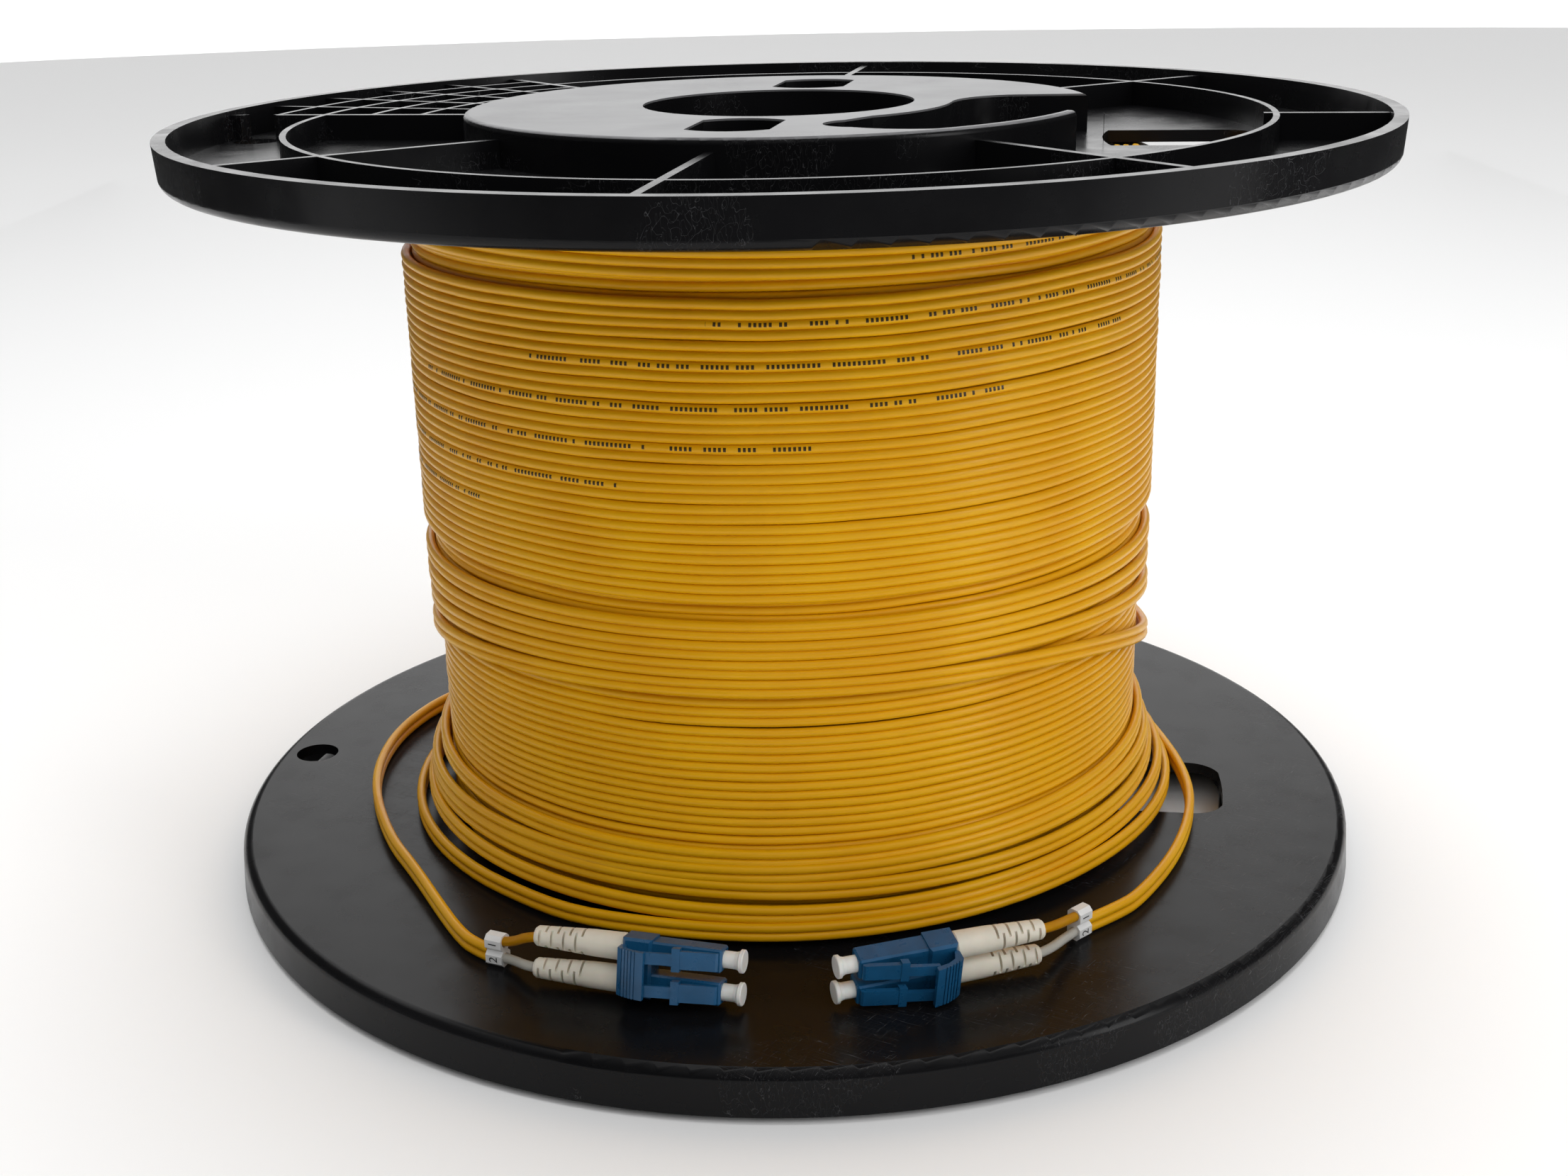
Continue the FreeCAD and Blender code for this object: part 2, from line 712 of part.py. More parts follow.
def make_clip(name):
    """Duplex clip: the block that holds both plugs at their pitch."""
    front, length = S["clip_front"], S["clip_length"]
    depth, height, side = S["clip_depth"], S["clip_height"], S["plug_side"]
    back = -front - length
    shell = block(name + "_shell", (back, -depth / 2, -height / 2), (length, depth, height))
    DOCUMENT.recompute()
    edged = DOCUMENT.addObject("Part::Chamfer", name + "_edged")
    edged.Base = shell
    edged.Edges = [(index, 0.5, 0.5) for index, edge in enumerate(shell.Shape.Edges, start=1)
                   if edge.Length > number(length) - 0.1]
    tools = []
    for number_up, shift in ((1, S["plug_pitch"] / 2), (2, -(S["plug_pitch"] / 2))):
        tools.append(block(f"{name}_seat_{number_up}", (-front - 2.9, -side / 2, shift - side / 2),
                           (3.9, side, side)))
        hole = turned(f"{name}_throat_{number_up}", [
            (back - 1, 0), (back - 1, S["crimp_radius"]), (-front - 1.0, S["crimp_radius"]),
            (-front - 1.0, 0)])
        hole.Placement.Base = VECTOR(0, 0, number(shift))
        hole.setExpression("Placement.Base.z", shift.text)
        tools.append(hole)
    return cut(name, edged, fuse(name + "_seats", tools))


TRIGGER_PIVOT = (-18.75, -3.45)
TRIGGER_ROOT_RADIUS = 0.55
GROOVE_COUNT = 5
GROOVE_STEP = 0.72
GROOVE_WIDTH = 0.22
GROOVE_DEPTH = 0.22


def height_on(outline, x):
    """The y of an outline of straight sides at this x."""
    for (x1, y1), (x2, y2) in zip(outline, outline[1:]):
        if x1 <= x <= x2:
            return y1 + (y2 - y1) * (x - x1) / (x2 - x1)
    raise ValueError(f"{x} is outside the outline")


def make_trigger(name):
    """Trigger plate: rooted at the clip's rear, over both latch tips, with grip grooves."""
    wall = number(S["trigger_wall"])
    back = -(number(S["clip_front"]) + number(S["clip_length"]))
    front = -number(S["clip_front"])
    x, y = TRIGGER_PIVOT
    outside = [(back, -5.2), (back + 1.0, -5.95), (back + 3.0, -6.8), (front, -7.25)]
    plate = prism(name + "_plate", [(back, y), *outside, (front, -7.25 + wall), (back + 3.2, -6.8 + wall),
                                    (back + 1.6, -5.95 + wall), (x + 0.5, y)], S["trigger_height"])
    root = DOCUMENT.addObject("Part::Cylinder", name + "_root")
    root.Radius = TRIGGER_ROOT_RADIUS
    bind(root, "Height", S["trigger_height"])
    root.Placement.Base = VECTOR(x, y, -number(S["trigger_height"]) / 2)
    root.setExpression("Placement.Base.z", (-(S["trigger_height"] / 2)).text)
    grooves = []
    for index in range(GROOVE_COUNT):
        start = back + 1.0 + index * GROOVE_STEP
        bottom = height_on(outside, start) + GROOVE_DEPTH
        grooves.append(block(f"{name}_groove_{index + 1}", (start, bottom - 2.0, -S["trigger_height"]),
                             (GROOVE_WIDTH, 2.0, S["trigger_height"] * 2)))
    return cut(name, fuse(name + "_whole", [plate, root]), fuse(name + "_grooves", grooves))


def make_boot(name, roll):
    """Strain-relief boot: tapered, with staggered flex slots towards its tail."""
    front = -(S["clip_front"] + S["clip_length"])
    tail = front - S["boot_length"]
    big, small, bore = S["boot_front_radius"], S["boot_tail_radius"], S["boot_bore_radius"]
    crimp = S["crimp_radius"]
    shell = turned(name + "_shell", [
        (front, crimp), (front, big - 0.25), (front - 0.3, big), (front - 6.5, big - 0.1),
        (tail + 0.5, small), (tail, small - 0.35), (tail, bore), (front - 5.2, bore),
        (front - 5.2, crimp)])
    slots = []
    pitch, width, keep = 2.5, 0.5, 1.28
    for index in range(4):
        for quarter, shift in ((0, 0.0), (1, pitch / 2)):
            place = number(tail) + 1.0 + index * pitch + shift
            for sign in (-1, 1):
                tool = block(f"{name}_slot_{index + 1}{quarter}{'lr'[sign > 0]}",
                             (0, 0, 0), (width, 2.0, 4.0))
                around = FreeCAD.Placement(ORIGIN, FreeCAD.Rotation(AXIS_X, roll + 90 * quarter))
                low = keep if sign > 0 else -keep - 2.0
                tool.Placement = around.multiply(FreeCAD.Placement(VECTOR(place, low, -2.0),
                                                                   FreeCAD.Rotation()))
                slots.append(tool)
    return cut(name, shell, fuse(name + "_slots", slots))


def make_crimp(name):
    """Crimp body: from the spring's seat in the plug, through the clip, into the boot."""
    bore, outer = S["boot_bore_radius"], S["crimp_radius"]
    front = -(S["clip_front"] + S["clip_length"])
    return turned(name, [
        (front - 5.0, bore), (front - 5.0, outer), (-15.0, outer), (-15.0, 0.7), (-16.0, 0.7),
        (-16.0, bore)])


def make_ferrule(name):
    """Ceramic ferrule pressed in its metal flange, one turned shape."""
    radius, flange = S["ferrule_radius"], S["ferrule_flange_radius"]
    return turned(name, [
        (-11.0, 0.15), (-11.0, 0.6), (-9.0, 0.6), (-9.0, flange), (-7.3, flange), (-7.3, radius),
        (1.2, radius), (1.5, radius - 0.2), (1.5, 0.15)])


def make_spring(name):
    """Compression spring behind the ferrule's flange, its wire drawn with eight sides."""
    pitch, length, coil_radius, wire_radius, sides = 0.95, 4.75, 1.3, 0.2, 8
    helix = Part.makeHelix(pitch, length, coil_radius)
    tangent = VECTOR(0, 2 * math.pi * coil_radius, pitch)
    wire_end = Part.Circle(VECTOR(coil_radius, 0, 0), tangent, wire_radius)
    corners = [wire_end.value(2 * math.pi * index / sides) for index in range(sides)]
    profile = Part.makePolygon(corners + corners[:1])
    item = DOCUMENT.addObject("Part::Feature", name)
    item.Shape = Part.Wire(helix).makePipeShell([profile], True, True)
    item.Placement = FreeCAD.Placement(VECTOR(-14.75, 0, 0), FreeCAD.Rotation(VECTOR(0, 1, 0), 90))
    return item


def make_cap(name):
    """Dust cap: a blind sleeve over the ferrule, with a flared head."""
    stem, head = S["cap_stem_radius"], S["cap_flange_radius"]
    reach, depth = S["cap_reach"], S["cap_depth"]
    return turned(name, [
        (-depth, 0.69), (-depth, stem - 0.1), (-depth + 0.3, stem), (reach - 1.7, stem),
        (reach - 1.05, stem + 0.2), (reach - 0.75, head), (reach - 0.15, head), (reach, head - 0.15),
        (reach, 0.0), (reach - 1.0, 0.0), (reach - 1.0, 0.69)])


def make_marker(name):
    """Marker sleeve: a short square sleeve with cut corners round one leg."""
    half, length = S["marker_side"] / 2, S["marker_length"]
    cut_back = 0.8
    ring = DOCUMENT.addObject("Part::Extrusion", name)
    sketch = DOCUMENT.addObject("Sketcher::SketchObject", name + "_profile")
    sketch.Placement = FreeCAD.Placement(ORIGIN, FreeCAD.Rotation(VECTOR(0, 1, 0), 90))
    draw_polygon(sketch, [
        (-half, -half + cut_back), (-half + cut_back, -half), (half - cut_back, -half),
        (half, -half + cut_back), (half, half - cut_back), (half - cut_back, half),
        (-half + cut_back, half), (-half, half - cut_back)])
    draw_circle(sketch, 0, 0, S["leg_diameter"] / 2)
    ring.Base = sketch
    ring.DirMode = "Custom"
    ring.Dir = AXIS_X
    ring.Solid = True
    bind(ring, "LengthFwd", length)
    return ring


# Where each pair of marker sleeves starts (x, y) and the direction that the legs run in it.
MARKERS = {"left": ((-59.9, -85.9), -24.0), "right": ((57.2, -79.8), 221.0)}


def marker_frame(side, leg):
    """Frame of one marker sleeve: +X along its leg, towards the boot."""
    (x, y), heading = MARKERS[side]
    rise = number(S["marker_side"]) * (1.5 if leg == 1 else 0.5)
    return FreeCAD.Placement(VECTOR(x, y, number(LOWER_FACE) + rise),
                             FreeCAD.Rotation(AXIS_Z, heading))


def make_leg(name, side, leg):
    """One leg, round, from its marker sleeve into the boot up to the crimp body."""
    radius = number(S["leg_diameter"]) / 2
    marker = marker_frame(side, leg)
    end = end_placement(side, leg)
    tail_x = -number(S["clip_front"] + S["clip_length"] + S["boot_length"])
    front_x = -number(S["clip_front"] + S["clip_length"]) - 5.2
    start = marker.multVec(VECTOR(0.2, 0, 0))
    leave = marker.multVec(VECTOR(number(S["marker_length"]) + 0.6, 0, 0))
    arrive = end.multVec(VECTOR(tail_x - 0.8, 0, 0))
    inside = end.multVec(VECTOR(front_x, 0, 0))
    runs = [start, leave, arrive, inside]
    edges = []
    at = runs[0]
    for before, corner, after in zip(runs, runs[1:], runs[2:]):
        first, middle, last, _, _ = arc_corner(before, corner, after)
        if (first - at).Length > 1e-6:
            edges.append(Part.LineSegment(at, first).toShape())
        edges.append(Part.Arc(first, middle, last).toShape())
        at = last
    edges.append(Part.LineSegment(at, inside).toShape())
    path = Part.Wire(edges)
    direction = leave - start
    profile = Part.Wire(Part.Circle(start, direction, radius).toShape())
    item = DOCUMENT.addObject("Part::Feature", name)
    item.Shape = path.makePipeShell([profile], True, False)
    return item


def make_connector_end(side):
    """All pieces of one connector end, placed on the flange."""
    pieces = []

    def add(item, placement):
        item.Placement = placement.multiply(item.Placement)
        pieces.append(item)

    for leg in (1, 2):
        at_plug = end_placement(side, leg)
        tag = f"{side}_%s_{leg}"
        add(make_housing(tag % "plug_housing"), at_plug)
        add(make_latch(tag % "latch"), at_plug)
        add(make_boot(tag % "boot", 0 if leg == 1 else 35), at_plug)
        add(make_crimp(tag % "crimp_body"), at_plug)
        add(make_ferrule(tag % "ferrule"), at_plug)
        add(make_spring(tag % "spring"), at_plug)
        add(make_cap(tag % "dust_cap"), at_plug)
        add(make_marker(tag % "marker"), marker_frame(side, leg))
        pieces.append(make_leg(tag % "leg", side, leg))
    add(make_clip(f"{side}_clip"), end_placement(side))
    add(make_trigger(f"{side}_trigger"), end_placement(side))
    return pieces


# ---------------------------------------------------------------- build and write

def check_document():
    failed = [item.Name for item in DOCUMENT.Objects
              if "Invalid" in item.State or "Error" in item.State]
    if failed:
        raise ValueError(f"failed objects: {failed}")


def export(pieces):
    os.makedirs("parts", exist_ok=True)
    for item in pieces:
        if item.Shape.isNull() or not item.Shape.isValid():
            raise ValueError(f"{item.Label} has no valid shape")
    for item in pieces:
        item.Shape.exportStep(f"parts/{item.Label}.step")


pieces = make_reel() + make_winding()
pieces.append(make_tail("left_tail", LEFT_ROUTE))
pieces.append(make_tail("right_tail", RIGHT_ROUTE))
for end_side in ("left", "right"):
    pieces += make_connector_end(end_side)
DOCUMENT.recompute()
check_document()
export(pieces)
print(len(pieces), "sub-parts")
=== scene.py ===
"""Cable reel wound with duplex fibre cord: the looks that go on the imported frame, in metres."""
import json
import math

import bpy
from mathutils import Matrix, Vector


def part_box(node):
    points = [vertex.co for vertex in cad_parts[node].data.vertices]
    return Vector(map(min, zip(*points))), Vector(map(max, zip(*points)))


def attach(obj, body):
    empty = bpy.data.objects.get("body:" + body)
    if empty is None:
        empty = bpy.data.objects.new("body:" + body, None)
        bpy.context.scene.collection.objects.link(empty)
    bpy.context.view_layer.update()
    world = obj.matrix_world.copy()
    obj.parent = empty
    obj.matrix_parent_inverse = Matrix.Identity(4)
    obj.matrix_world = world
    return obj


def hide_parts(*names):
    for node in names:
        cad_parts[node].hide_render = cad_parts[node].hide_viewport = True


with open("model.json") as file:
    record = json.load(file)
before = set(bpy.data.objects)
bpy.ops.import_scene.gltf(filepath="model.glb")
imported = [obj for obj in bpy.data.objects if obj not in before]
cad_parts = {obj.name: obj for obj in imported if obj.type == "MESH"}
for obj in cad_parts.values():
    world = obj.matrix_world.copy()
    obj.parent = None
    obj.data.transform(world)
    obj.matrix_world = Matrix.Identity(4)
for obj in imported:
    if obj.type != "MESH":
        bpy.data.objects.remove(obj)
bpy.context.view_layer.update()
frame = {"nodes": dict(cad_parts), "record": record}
MM = 0.001

# ---------------------------------------------------------------- places taken from the frame

FLANGE_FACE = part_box("lower_flange")[1][2]            # upper face of the lower flange's web
UPPER_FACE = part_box("inner_pack")[1][2]               # lower face of the upper flange's web
REEL_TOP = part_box("upper_flange")[1][2]
BARREL_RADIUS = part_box("barrel")[1][0]
FULL_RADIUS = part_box("inner_pack")[1][0]              # outside of the last full layer
LAST_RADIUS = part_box("last_layer")[1][0]              # outside of the layer that stops short
LAST_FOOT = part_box("last_layer")[0][2]

# ---------------------------------------------------------------- sizes of the cord and its winding

LEG_RADIUS = 1.0 * MM
LEG_PITCH = 1.91 * MM                                 # from leg to leg where they are wound tight
CORD_PITCH = 2 * LEG_PITCH
EDGE_TURNS = 4.0                                      # loose turns at the last layer's foot
EDGE_TURNS_TOP = LAST_FOOT + 36.4 * MM
NEAT_TURNS = 15.25                                    # turns of the last layer that lie tight
TOP_TURNS = 3.0                                       # slack turns under the upper flange
BASE_TURNS = 4.9                                      # loose turns round the foot
STEPS_PER_TURN = 110
HIDDEN_TURNS = 2                                      # turns drawn at each end of a deeper layer

# ---------------------------------------------------------------- sizes at the connectors

BARE_LEG_RADIUS = 0.95 * MM
BOOT_HALF_LENGTH = 9.15 * MM
SLEEVE_HALF_HEIGHT = 1.65 * MM
DIGIT_SIZE = 2.6 * MM
DIGIT_PROUD = 0.03 * MM


def add_object(name, data):
    """A new object in the scene that shows this data."""
    item = bpy.data.objects.new(name, data)
    bpy.context.scene.collection.objects.link(item)
    return item


# ---------------------------------------------------------------- camera

def add_camera():
    """The camera in front of the reel, a little above it, looking down."""
    data = bpy.data.cameras.new("camera")
    data.sensor_fit = "HORIZONTAL"
    data.sensor_width = 36.0
    data.lens = 44.32
    data.clip_start = 0.01
    data.clip_end = 20.0
    camera = add_object("camera", data)
    camera.location = (0.0, -0.4174, 0.2040)
    pitch, yaw, roll = 0.3408, 0.0028, -0.0227
    turn = Matrix.Rotation(yaw, 3, "Z") @ Matrix.Rotation(math.pi / 2 - pitch, 3, "X")
    camera.rotation_euler = (turn @ Matrix.Rotation(roll, 3, "Z")).to_euler()
    bpy.context.scene.camera = camera
    bpy.context.scene.view_settings.view_transform = "Standard"


# ---------------------------------------------------------------- node helpers

def add_node(tree, kind, settings=None, **inputs):
    """A node with its settings; each input is a value or another node's output socket."""
    node = tree.nodes.new(kind)
    for name, value in (settings or {}).items():
        setattr(node, name, value)
    for name, value in inputs.items():
        link_input(tree, node, name.replace("_", " "), value)
    return node


def link_input(tree, node, name, value):
    """Sets or links one input, found by its name or by its number given as text."""
    socket = node.inputs[int(name)] if name.isdigit() else node.inputs[name]
    if isinstance(value, bpy.types.NodeSocket):
        tree.links.new(value, socket)
    else:
        socket.default_value = value


def math_node(tree, operation, first, second=0.0):
    node = add_node(tree, "ShaderNodeMath", {"operation": operation})
    for index, value in enumerate((first, second)):
        link_input(tree, node, str(index), value)
    return node.outputs[0]


def vector_node(tree, operation, first, second=(0.0, 0.0, 0.0)):
    node = add_node(tree, "ShaderNodeVectorMath", {"operation": operation})
    for index, value in enumerate((first, second)):
        link_input(tree, node, str(index), value)
    return node.outputs[0]


def distance_from(tree, value, middle):
    """How far the value is from this middle, either way."""
    return math_node(tree, "ABSOLUTE", math_node(tree, "SUBTRACT", value, middle))


def new_group(name, sockets):
    """An empty geometry tree with these named inputs, and its input and output nodes."""
    tree = bpy.data.node_groups.new(name, "GeometryNodeTree")
    for label, kind in sockets:
        tree.interface.new_socket(name=label, in_out="INPUT", socket_type=kind)
    tree.interface.new_socket(name="Geometry", in_out="OUTPUT", socket_type="NodeSocketGeometry")
    return tree, tree.nodes.new("NodeGroupInput").outputs, tree.nodes.new("NodeGroupOutput")


FLOAT, WHOLE = "NodeSocketFloat", "NodeSocketInt"
SWEEP_INPUTS = [("Leg Radius", FLOAT), ("Leg Pitch", FLOAT), ("Web Radius", FLOAT), ("Sides", WHOLE),
                ("Length Before", FLOAT), ("Material", "NodeSocketMaterial")]


def offset_curve(tree, curve, offset):
    """The curve with every point moved by the offset."""
    return add_node(tree, "GeometryNodeSetPosition", Geometry=curve, Offset=offset).outputs[0]


def zipcord_group():
    """Sweeps a two-leg cord, its legs one above the other, along any curve."""
    tree, given, result = new_group("zipcord", [("Geometry", "NodeSocketGeometry")] + SWEEP_INPUTS)
    length = tree.nodes.new("GeometryNodeSplineParameter").outputs["Length"]
    along = math_node(tree, "ADD", length, given["Length Before"])
    capture = tree.nodes.new("GeometryNodeCaptureAttribute")
    capture.capture_items.new("FLOAT", "along")
    tree.links.new(given["Geometry"], capture.inputs[0])
    tree.links.new(along, capture.inputs[1])
    join = tree.nodes.new("GeometryNodeJoinGeometry")
    strands = ((0.5, given["Leg Radius"], 1.0), (-0.5, given["Leg Radius"], 2.0),
               (0.0, given["Web Radius"], 0.0))
    for side, radius, leg in strands:
        rise = math_node(tree, "MULTIPLY", given["Leg Pitch"], side)
        shift = add_node(tree, "ShaderNodeCombineXYZ", Z=rise).outputs[0]
        profile = add_node(tree, "GeometryNodeCurvePrimitiveCircle",
                           Resolution=given["Sides"], Radius=radius).outputs[0]
        tube = add_node(tree, "GeometryNodeCurveToMesh", Curve=offset_curve(tree, capture.outputs[0], shift),
                        Profile_Curve=profile, Fill_Caps=True)
        tagged = add_node(tree, "GeometryNodeStoreNamedAttribute", {"data_type": "FLOAT", "domain": "POINT"},
                          Geometry=tube.outputs[0], Name="leg", Value=leg)
        tree.links.new(tagged.outputs[0], join.inputs[0])
    stored = add_node(tree, "GeometryNodeStoreNamedAttribute", {"data_type": "FLOAT", "domain": "POINT"},
                      Geometry=join.outputs[0], Name="along", Value=capture.outputs[1])
    smooth = add_node(tree, "GeometryNodeSetShadeSmooth", Geometry=stored.outputs[0])
    real = add_node(tree, "GeometryNodeRealizeInstances", Geometry=smooth.outputs[0])
    painted = add_node(tree, "GeometryNodeSetMaterial", Geometry=real.outputs[0], Material=given["Material"])
    tree.links.new(painted.outputs[0], result.inputs[0])
    return tree


def use_zipcord(tree, given, curve, zipcord):
    """The cord swept along the curve, with the sizes given to the tree that asks for it."""
    swept = add_node(tree, "GeometryNodeGroup", {"node_tree": zipcord}, Geometry=curve)
    for label, _ in SWEEP_INPUTS:
        tree.links.new(given[label], swept.inputs[label])
    return swept.outputs[0]


def layer_group(zipcord):
    """One wound layer: a helix with a little shared drift, so that neighbours keep their distance.

    Drift moves neighbouring turns up and down together, Jitter moves the cord by itself along its length,
    and Bulge moves it in and out.
    """
    tree, given, result = new_group("wound_layer", [
        ("Turns", FLOAT), ("Radius", FLOAT), ("Foot", FLOAT), ("Rise", FLOAT), ("Points Per Turn", WHOLE),
        ("Drift", FLOAT), ("Bulge", FLOAT), ("Jitter", FLOAT), ("Seed", FLOAT)] + SWEEP_INPUTS)
    helix = add_node(tree, "GeometryNodeCurveSpiral", Resolution=given["Points Per Turn"],
                     Rotations=given["Turns"], Start_Radius=given["Radius"], End_Radius=given["Radius"],
                     Height=given["Rise"], Reverse=True).outputs[0]
    drift_scale, wander_scale, swell_scale = 28.0, 6.0, 9.0
    seed_stride, swell_start = 100.0, 31.0            # keep the layers' and the two noises' stretches apart
    place = tree.nodes.new("GeometryNodeInputPosition").outputs[0]
    drift = add_node(tree, "ShaderNodeTexNoise", {"noise_dimensions": "4D"}, Vector=place,
                     W=given["Seed"], Scale=drift_scale, Detail=1.0).outputs[0]
    shared = math_node(tree, "MULTIPLY", math_node(tree, "SUBTRACT", drift, 0.5), given["Drift"])
    length = tree.nodes.new("GeometryNodeSplineParameter").outputs["Length"]
    unwound = math_node(tree, "ADD", length, math_node(tree, "MULTIPLY", given["Seed"], seed_stride))
    wander = add_node(tree, "ShaderNodeTexNoise", {"noise_dimensions": "1D"}, W=unwound,
                      Scale=wander_scale, Detail=2.0).outputs[0]
    own = math_node(tree, "MULTIPLY", math_node(tree, "SUBTRACT", wander, 0.5), given["Jitter"])
    height = math_node(tree, "ADD", math_node(tree, "ADD", shared, own), given["Foot"])
    swell = add_node(tree, "ShaderNodeTexNoise", {"noise_dimensions": "1D"},
                     W=math_node(tree, "ADD", unwound, swell_start), Scale=swell_scale,
                     Detail=2.0).outputs[0]
    push = math_node(tree, "MULTIPLY", math_node(tree, "SUBTRACT", swell, 0.5), given["Bulge"])
    outward = vector_node(tree, "NORMALIZE", vector_node(tree, "MULTIPLY", place, (1.0, 1.0, 0.0)))
    radial = add_node(tree, "ShaderNodeVectorMath", {"operation": "SCALE"}, Vector=outward, Scale=push)
    raised = add_node(tree, "ShaderNodeCombineXYZ", Z=height).outputs[0]
    wound = offset_curve(tree, helix, vector_node(tree, "ADD", radial.outputs[0], raised))
    tree.links.new(use_zipcord(tree, given, wound, zipcord), result.inputs[0])
    return tree


def route_group(zipcord):
    """A cord laid along the curve of another object."""
    tree, given, result = new_group("laid_cord", [("Route", "NodeSocketObject")] + SWEEP_INPUTS)
    route = add_node(tree, "GeometryNodeObjectInfo", Object=given["Route"]).outputs["Geometry"]
    fine = add_node(tree, "GeometryNodeResampleCurve", {"mode": "EVALUATED"}, Curve=route).outputs[0]
    tree.links.new(use_zipcord(tree, given, fine, zipcord), result.inputs[0])
    return tree


def grow(name, group, **values):
    """Runs a geometry tree on an empty mesh and keeps the result as a plain mesh object."""
    seed = add_object(name + "_seed", bpy.data.meshes.new(name + "_seed"))
    modifier = seed.modifiers.new("grow", "NODES")
    modifier.node_group = group
    sockets = {item.name: item.identifier for item in group.interface.items_tree if item.in_out == "INPUT"}
    for label, value in values.items():
        modifier[sockets[label.replace("_", " ")]] = value
    evaluated = seed.evaluated_get(bpy.context.evaluated_depsgraph_get())
    mesh = bpy.data.meshes.new_from_object(evaluated)
    bpy.data.objects.remove(seed)
    return add_object(name, mesh)


# ---------------------------------------------------------------- materials

def new_material(name, colour, roughness, **sockets):
    """A material with a Principled shader. Returns it with its tree and its shader."""
    material = bpy.data.materials.new(name)
    material.use_nodes = True
    material.diffuse_color = (*colour, 1.0)
    tree = material.node_tree
    shader = tree.nodes["Principled BSDF"]
    shader.inputs["Base Color"].default_value = (*colour, 1.0)
    shader.inputs["Roughness"].default_value = roughness
    for label, value in sockets.items():
        shader.inputs[label.replace("_", " ")].default_value = value
    return material, tree, shader


def noise_value(tree, scale, detail=2.0):
    """Noise on the object's own coordinates: a bigger scale gives finer clouds."""
    place = tree.nodes.new("ShaderNodeTexCoord").outputs["Object"]
    return add_node(tree, "ShaderNodeTexNoise", Vector=place, Scale=scale, Detail=detail).outputs[0]


def between(tree, value, low, high, to_low=0.0, to_high=1.0):
    """The value mapped from one range to another, and held inside it."""
    node = add_node(tree, "ShaderNodeMapRange", {"clamp": True}, Value=value, From_Min=low, From_Max=high,
                    To_Min=to_low, To_Max=to_high)
    return node.outputs[0]


def add_bump(tree, shader, height, distance, strength, under=None):
    """A bump on the shader, over another bump if one is given."""
    bump = add_node(tree, "ShaderNodeBump", Height=height, Distance=distance, Strength=strength)
    if under is not None:
        tree.links.new(under, bump.inputs["Normal"])
    tree.links.new(bump.outputs[0], shader.inputs["Normal"])
    return bump.outputs[0]


def mix_colour(tree, amount, first, second):
    """The first colour where the amount is 0, and the second where it is 1."""
    node = add_node(tree, "ShaderNodeMix", {"data_type": "RGBA"})
    link_input(tree, node, "0", amount)
    for index, colour in ((6, first), (7, second)):
        value = colour if isinstance(colour, bpy.types.NodeSocket) else (*colour, 1.0)
        link_input(tree, node, str(index), value)
    return node.outputs[2]


def jacket_material(name, colour, deep, marks=False):
    """Soft semi-gloss cord jacket: uneven tone, small dents and, with marks, rows of printed ticks."""
    material, tree, shader = new_material(name, colour, 0.34, Specular_IOR_Level=0.28)
    patches = between(tree, noise_value(tree, 45.0, 3.0), 0.3, 0.7)
    tone = mix_colour(tree, patches, colour, deep)
    if marks:
        tone = mix_colour(tree, printed_ticks(tree), tone, (0.05, 0.03, 0.008))
    tree.links.new(tone, shader.inputs["Base Color"])
    gloss = between(tree, noise_value(tree, 260.0, 3.0), 0.3, 0.7, 0.3, 0.42)
    tree.links.new(gloss, shader.inputs["Roughness"])
    dents = between(tree, noise_value(tree, 75.0, 1.0), 0.68, 0.8)
    wavy = add_bump(tree, shader, dents, -0.1 * MM, 0.6)
    add_bump(tree, shader, noise_value(tree, 1500.0), 0.01 * MM, 0.25, wavy)
    return material


def printed_ticks(tree):
    """Mask of the jacket print on one leg: rows of plain ticks, once in every metre of cord."""
    along = add_node(tree, "ShaderNodeAttribute", {"attribute_name": "along"}).outputs["Fac"]
    leg = add_node(tree, "ShaderNodeAttribute", {"attribute_name": "leg"}).outputs["Fac"]
    surface = tree.nodes.new("ShaderNodeTexCoord").outputs
    facing = add_node(tree, "ShaderNodeSeparateXYZ", Vector=surface["Normal"]).outputs[2]
    height = add_node(tree, "ShaderNodeSeparateXYZ", Vector=surface["Object"]).outputs[2]
    period, share, phase = 1.0367, 0.124, 0.38        # metres from row to row, a row's share of it, its start
    cell, tick_width, tick_chance = 0.9 * MM, 0.58, 0.82
    word_cells, word_share = 13.0, 0.84
    face_tilt, face_reach = 0.15, 0.4                 # which way the printed side of the leg faces
    lowest_print = 85 * MM
    metre = math_node(tree, "FRACT", math_node(tree, "ADD", math_node(tree, "DIVIDE", along, period), phase))
    number = math_node(tree, "DIVIDE", along, cell)
    filled = add_node(tree, "ShaderNodeTexWhiteNoise", {"noise_dimensions": "1D"},
                      W=math_node(tree, "FLOOR", number)).outputs[0]
    word = math_node(tree, "FRACT", math_node(tree, "DIVIDE", number, word_cells))
    tests = [
        math_node(tree, "LESS_THAN", distance_from(tree, facing, face_tilt), face_reach),
        math_node(tree, "LESS_THAN", metre, share),
        math_node(tree, "LESS_THAN", math_node(tree, "FRACT", number), tick_width),
        math_node(tree, "LESS_THAN", filled, tick_chance),
        math_node(tree, "LESS_THAN", word, word_share),
        math_node(tree, "GREATER_THAN", height, lowest_print),
        math_node(tree, "LESS_THAN", distance_from(tree, leg, 1.0), 0.1),
    ]
    mask = tests[0]
    for test in tests[1:]:
        mask = math_node(tree, "MULTIPLY", mask, test)
    return mask


